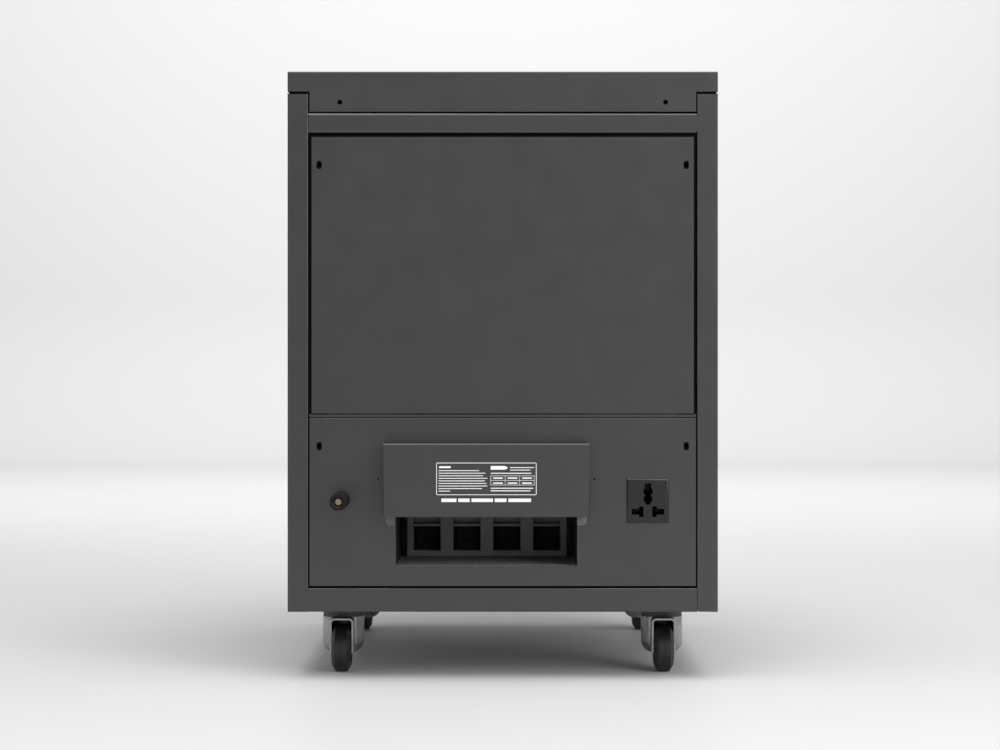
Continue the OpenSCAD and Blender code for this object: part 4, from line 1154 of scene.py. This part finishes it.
# %% One blade
def blade_mesh(length, drop, depth, thick):
    """A blade that leaves the slot's upper lip and slants inwards and down, in metres, towards +Y."""
    bm = bmesh.new()
    outline = []
    for k in range(4):
        a = math.radians(30 * k)
        outline.append((0.5 * depth * math.sin(a), -0.35 * drop * (1 - math.cos(a))))
    outline.append((depth, -drop))
    lower = [(y, z - thick) for y, z in outline]
    loop = outline + lower[::-1]
    for x in (-length / 2, length / 2):
        for y, z in loop:
            bm.verts.new((x, y, z))
    bm.verts.ensure_lookup_table()
    count = len(loop)
    for k in range(count):
        n = (k + 1) % count
        bm.faces.new((bm.verts[k], bm.verts[n], bm.verts[count + n], bm.verts[count + k]))
    bm.faces.new(bm.verts[:count][::-1])
    bm.faces.new(bm.verts[count:])
    bmesh.ops.recalc_face_normals(bm, faces=bm.faces)
    mesh = bpy.data.meshes.new("louvre_blade")
    bm.to_mesh(mesh)
    bm.free()
    return mesh


# %% Trees that repeat a piece
def repeating_tree(name, material, sizes, lay_out):
    """A tree that puts one piece at every point that lay_out makes, realises it and sets its finish.

    sizes maps the name of each further input to Int or Float.
    """
    tree = bpy.data.node_groups.new(name, "GeometryNodeTree")
    tree.interface.new_socket("Geometry", in_out="OUTPUT", socket_type="NodeSocketGeometry")
    for label, kind in {"Piece": "Object", **sizes}.items():
        tree.interface.new_socket(label, in_out="INPUT", socket_type="NodeSocket" + kind)
    given = tree.nodes.new("NodeGroupInput").outputs
    result = tree.nodes.new("NodeGroupOutput")
    points, turn = lay_out(tree, given)
    source = add(tree, "GeometryNodeObjectInfo", {"Object": given["Piece"]}, transform_space="ORIGINAL")
    copies = add(
        tree,
        "GeometryNodeInstanceOnPoints",
        {"Points": points, "Instance": source.outputs["Geometry"], "Rotation": turn},
    )
    real = add(tree, "GeometryNodeRealizeInstances", {"Geometry": copies.outputs["Instances"]})
    coat = add(tree, "GeometryNodeSetMaterial", {"Geometry": real.outputs["Geometry"], "Material": material})
    tree.links.new(coat.outputs["Geometry"], result.inputs[0])
    return tree


def repeated(piece_mesh, tree, name, **inputs):
    """A working mesh of the tree's result. Its inputs are set through each socket's identifier."""
    source = bpy.data.objects.new(name + "_source", piece_mesh)
    holder = bpy.data.objects.new(name + "_holder", bpy.data.meshes.new(name))
    bpy.context.collection.objects.link(source)
    bpy.context.collection.objects.link(holder)
    modifier = holder.modifiers.new("repeat", "NODES")
    modifier.node_group = tree
    inputs["Piece"] = source
    for item in tree.interface.items_tree:
        if item.item_type == "SOCKET" and item.in_out == "INPUT":
            modifier[item.identifier] = inputs[item.name]
    shape = holder.evaluated_get(bpy.context.evaluated_depsgraph_get())
    mesh = bpy.data.meshes.new_from_object(shape)
    bpy.data.objects.remove(holder)
    bpy.data.objects.remove(source)
    return mesh


# %% Louvres on the front and sides
def upright_grid(tree, given):
    """Columns and rows of points in the XZ plane, centred on the origin."""
    grid = add(
        tree,
        "GeometryNodeMeshGrid",
        {
            "Size X": given["Width"],
            "Size Y": given["Height"],
            "Vertices X": given["Columns"],
            "Vertices Y": given["Rows"],
        },
    )
    upright = {"Geometry": grid.outputs["Mesh"], "Rotation": (math.radians(90), 0, 0)}
    return add(tree, "GeometryNodeTransform", upright).outputs["Geometry"], (0, 0, 0)


louvre_l, louvre_h, louvre_pitch = 52 * MM, 3 * MM, 13 * MM
louvre_columns, louvre_rows = 5, 9
louvre_in, side_space, front_space = 34 * MM, 24 * MM, 16 * MM
sheet_t = 1.5 * MM
blade = blade_mesh(louvre_l - 0.4 * MM, 7.5 * MM, 6.5 * MM, 0.9 * MM)
grid_sizes = {"Width": "Float", "Height": "Float", "Columns": "Int", "Rows": "Int"}
blade_tree = repeating_tree("louvre_grid", powder, grid_sizes, upright_grid)
panel_low, panel_high = box_of("side_panel_right")
tall = (louvre_rows - 1) * louvre_pitch
lip = louvre_h - 0.1 * MM
low_row = panel_low.z + louvre_in + lip
high_row = panel_high.z - louvre_in - tall + lip
front_inside = box_of("front_panel")[1].y - sheet_t
side_inside = panel_high.x - sheet_t
front_step, side_step = louvre_l + front_space, louvre_l + side_space
plan = [
    (180, (0, front_inside, low_row), front_step),
    (90, (side_inside, middle_y, low_row), side_step),
    (90, (side_inside, middle_y, high_row), side_step),
    (-90, (-side_inside, middle_y, low_row), side_step),
    (-90, (-side_inside, middle_y, high_row), side_step),
]
for number, (turn_deg, place, step) in enumerate(plan):
    width = (louvre_columns - 1) * step
    counts = {"Columns": louvre_columns, "Rows": louvre_rows}
    mesh = repeated(blade, blade_tree, "louvres", Width=width, Height=tall, **counts)
    turn = Matrix.Rotation(math.radians(turn_deg), 4, "Z")
    mesh.transform(Matrix.Translation(Vector(place) + Vector((0, 0, tall / 2))) @ turn)
    bm = bmesh.new()
    bm.from_mesh(mesh)
    finish_piece(bm, f"louvre_blades_{number}", powder, "cabinet", slot="cabinet_paint", smooth_deg=40)
print("louvre blades:", len(plan) * louvre_columns * louvre_rows)

# %% [markdown]
# ## Inside the cabinet
# The cabinet holds a main transformer, and a ring transformer whose brush a small motor turns. They show
# only through gaps and louvres, but each still gets its real surface: laminations, turns of wire, a taped
# coil and hammered paint on the motor.

# %% One turn of wire
ring_low, ring_high = box_of("ring_winding")
wire_mm = 2.0
outer_r = (ring_high.x - ring_low.x) * 500
inner_r = 52.0
half_h = (ring_high.z - ring_low.z) * 500


def turn_mesh():
    """One turn round the ring's section: a closed loop of round wire in the XZ plane, in metres."""
    bm = bmesh.new()
    x0, x1 = inner_r + wire_mm / 2, outer_r - wire_mm / 2
    z1 = half_h - wire_mm / 2
    corner = 5.0
    path = []
    for cx, cz, a in corner_arcs(x0, -z1, x1, z1, corner, (0, 45, 90)):
        out_way = Vector((math.cos(a), 0, math.sin(a)))
        path.append((Vector((cx, 0, cz)) + out_way * corner, out_way))
    sides = 6
    rings = []
    for point, out_way in path:
        ring = []
        for k in range(sides):
            a = 2 * math.pi * k / sides
            offset = out_way * math.cos(a) + Vector((0, 1, 0)) * math.sin(a)
            ring.append(bm.verts.new((point + offset * wire_mm / 2) * MM))
        rings.append(ring)
    for r, ring in enumerate(rings):
        following = rings[(r + 1) % len(rings)]
        for k in range(sides):
            n = (k + 1) % sides
            bm.faces.new((ring[k], ring[n], following[n], following[k]))
    bmesh.ops.recalc_face_normals(bm, faces=bm.faces)
    mesh = bpy.data.meshes.new("wire_turn")
    bm.to_mesh(mesh)
    bm.free()
    return mesh


# %% Turns of wire on the ring
def points_on_arc(tree, given):
    """Points on the axis of the ring, each turned a step further than the last."""
    points = add(tree, "GeometryNodePoints", {"Count": given["Count"]})
    index = add(tree, "GeometryNodeInputIndex")
    angle = add(
        tree,
        "ShaderNodeMath",
        {0: index.outputs["Index"], 1: given["Step"], 2: given["First"]},
        operation="MULTIPLY_ADD",
    )
    spin = add(tree, "ShaderNodeCombineXYZ", {"Z": angle.outputs["Value"]})
    return points.outputs["Points"], spin.outputs["Vector"]


open_deg = 30
turns = 200
arc = math.radians(360 - open_deg - 2)
first = math.radians(90 + open_deg / 2 + 1)
arc_sizes = {"Count": "Int", "First": "Float", "Step": "Float"}
ring_tree = repeating_tree("turns_on_a_ring", copper, arc_sizes, points_on_arc)
mesh = repeated(turn_mesh(), ring_tree, "ring_turns", Count=turns, First=first, Step=arc / (turns - 1))
mesh.transform(Matrix.Translation(centre_of("ring_winding")))
bm = bmesh.new()
bm.from_mesh(mesh)
print("wire turns:", turns, "triangles:", 2 * len(bm.faces))
finish_piece(bm, "ring_wire_turns", copper, "cabinet", stands_for=["ring_winding"], smooth_deg=80)

# %% Core, coil, arm, motor and board
for node, material, radius in (
    ("ring_core", laminated, 0.6),
    ("transformer_core", laminated, 0.5),
    ("transformer_coil", varnish_tape, 4.0),
    ("ring_column", moulding, 0.8),
    ("brush_shaft", zinc, 0.4),
    ("control_board", solder_mask, 0.15),
    ("servo_motor", motor_paint, 1.2),
    ("terminal_clamps", clamp_painted_shade, 0.6),
    ("outlet_shutters", knob_black, 0.3),
    ("earth_washer", brass, 0.25),
    ("terminal_screws", zinc, 0.25),
    ("panel_screws", black_screw, 0.2),
):
    bm = softened_copy(node, radius, 2 if radius > 0.5 else 1, 2.2 * radius)
    finish_piece(bm, "real_" + node, material, body_of_node[node], stands_for=[node], smooth_deg=40)

# %% Brush arm
bm = working_copy("brush_arm")
arm_thick = 8 * MM
brush_top = box_of("brush_arm")[1].z - arm_thick - 0.02 * MM
for face in bm.faces:
    face.material_index = int(max(v.co.z for v in face.verts) < brush_top)
round_edges(bm, [e for e in bm.edges if sharp_convex(e, 50)], 0.6, 2)
finish_piece(bm, "real_brush_arm", [cast_metal, knob_black], "brush", stands_for=["brush_arm"], smooth_deg=40)

# %% [markdown]
# Parts on the circuit board make it read as electronics: a row of relays, three capacitors, a chip and a
# header, each a small rounded body on the board's inner face.

# %% Parts on the board
board_low = box_of("control_board")[0]
board_back = board_low.y
part_foot = board_back - 0.05 * MM
bm = bmesh.new()


def board_part(x, z, wide, high, deep, round_mm, index):
    """A rounded body on the board, placed in millimetres from the board's lowest corner."""
    left, foot = board_low.x + x * MM, board_low.z + z * MM
    corner = (left + wide * MM, part_foot, foot + high * MM)
    block(bm, (left, board_back - deep * MM, foot), corner, round_mm, index)


for k in range(5):
    board_part(22 + 21 * k, 14, 15.5, 19, 15, 0.5, 0)
can_outline = [(0, 0), (6, 0), (6, 1.5), (5.6, 2), (6, 2.5), (6, 19.6), (5.4, 20), (0, 20)]
for k in range(3):
    can_at = (board_low.x + (26 + 17 * k) * MM, part_foot, board_low.z + 88 * MM)
    for face in turned(bm, can_outline, can_at, (0, -1, 0), 32):
        face.material_index = 1
board_part(80, 52, 28, 10, 4, 0.4, 2)
board_part(96, 80, 40, 11, 11, 0.4, 3)
part_finishes = [knob_black, motor_paint, moulding, solder_mask]
finish_piece(bm, "board_parts", part_finishes, "cabinet", slot="circuit_board")
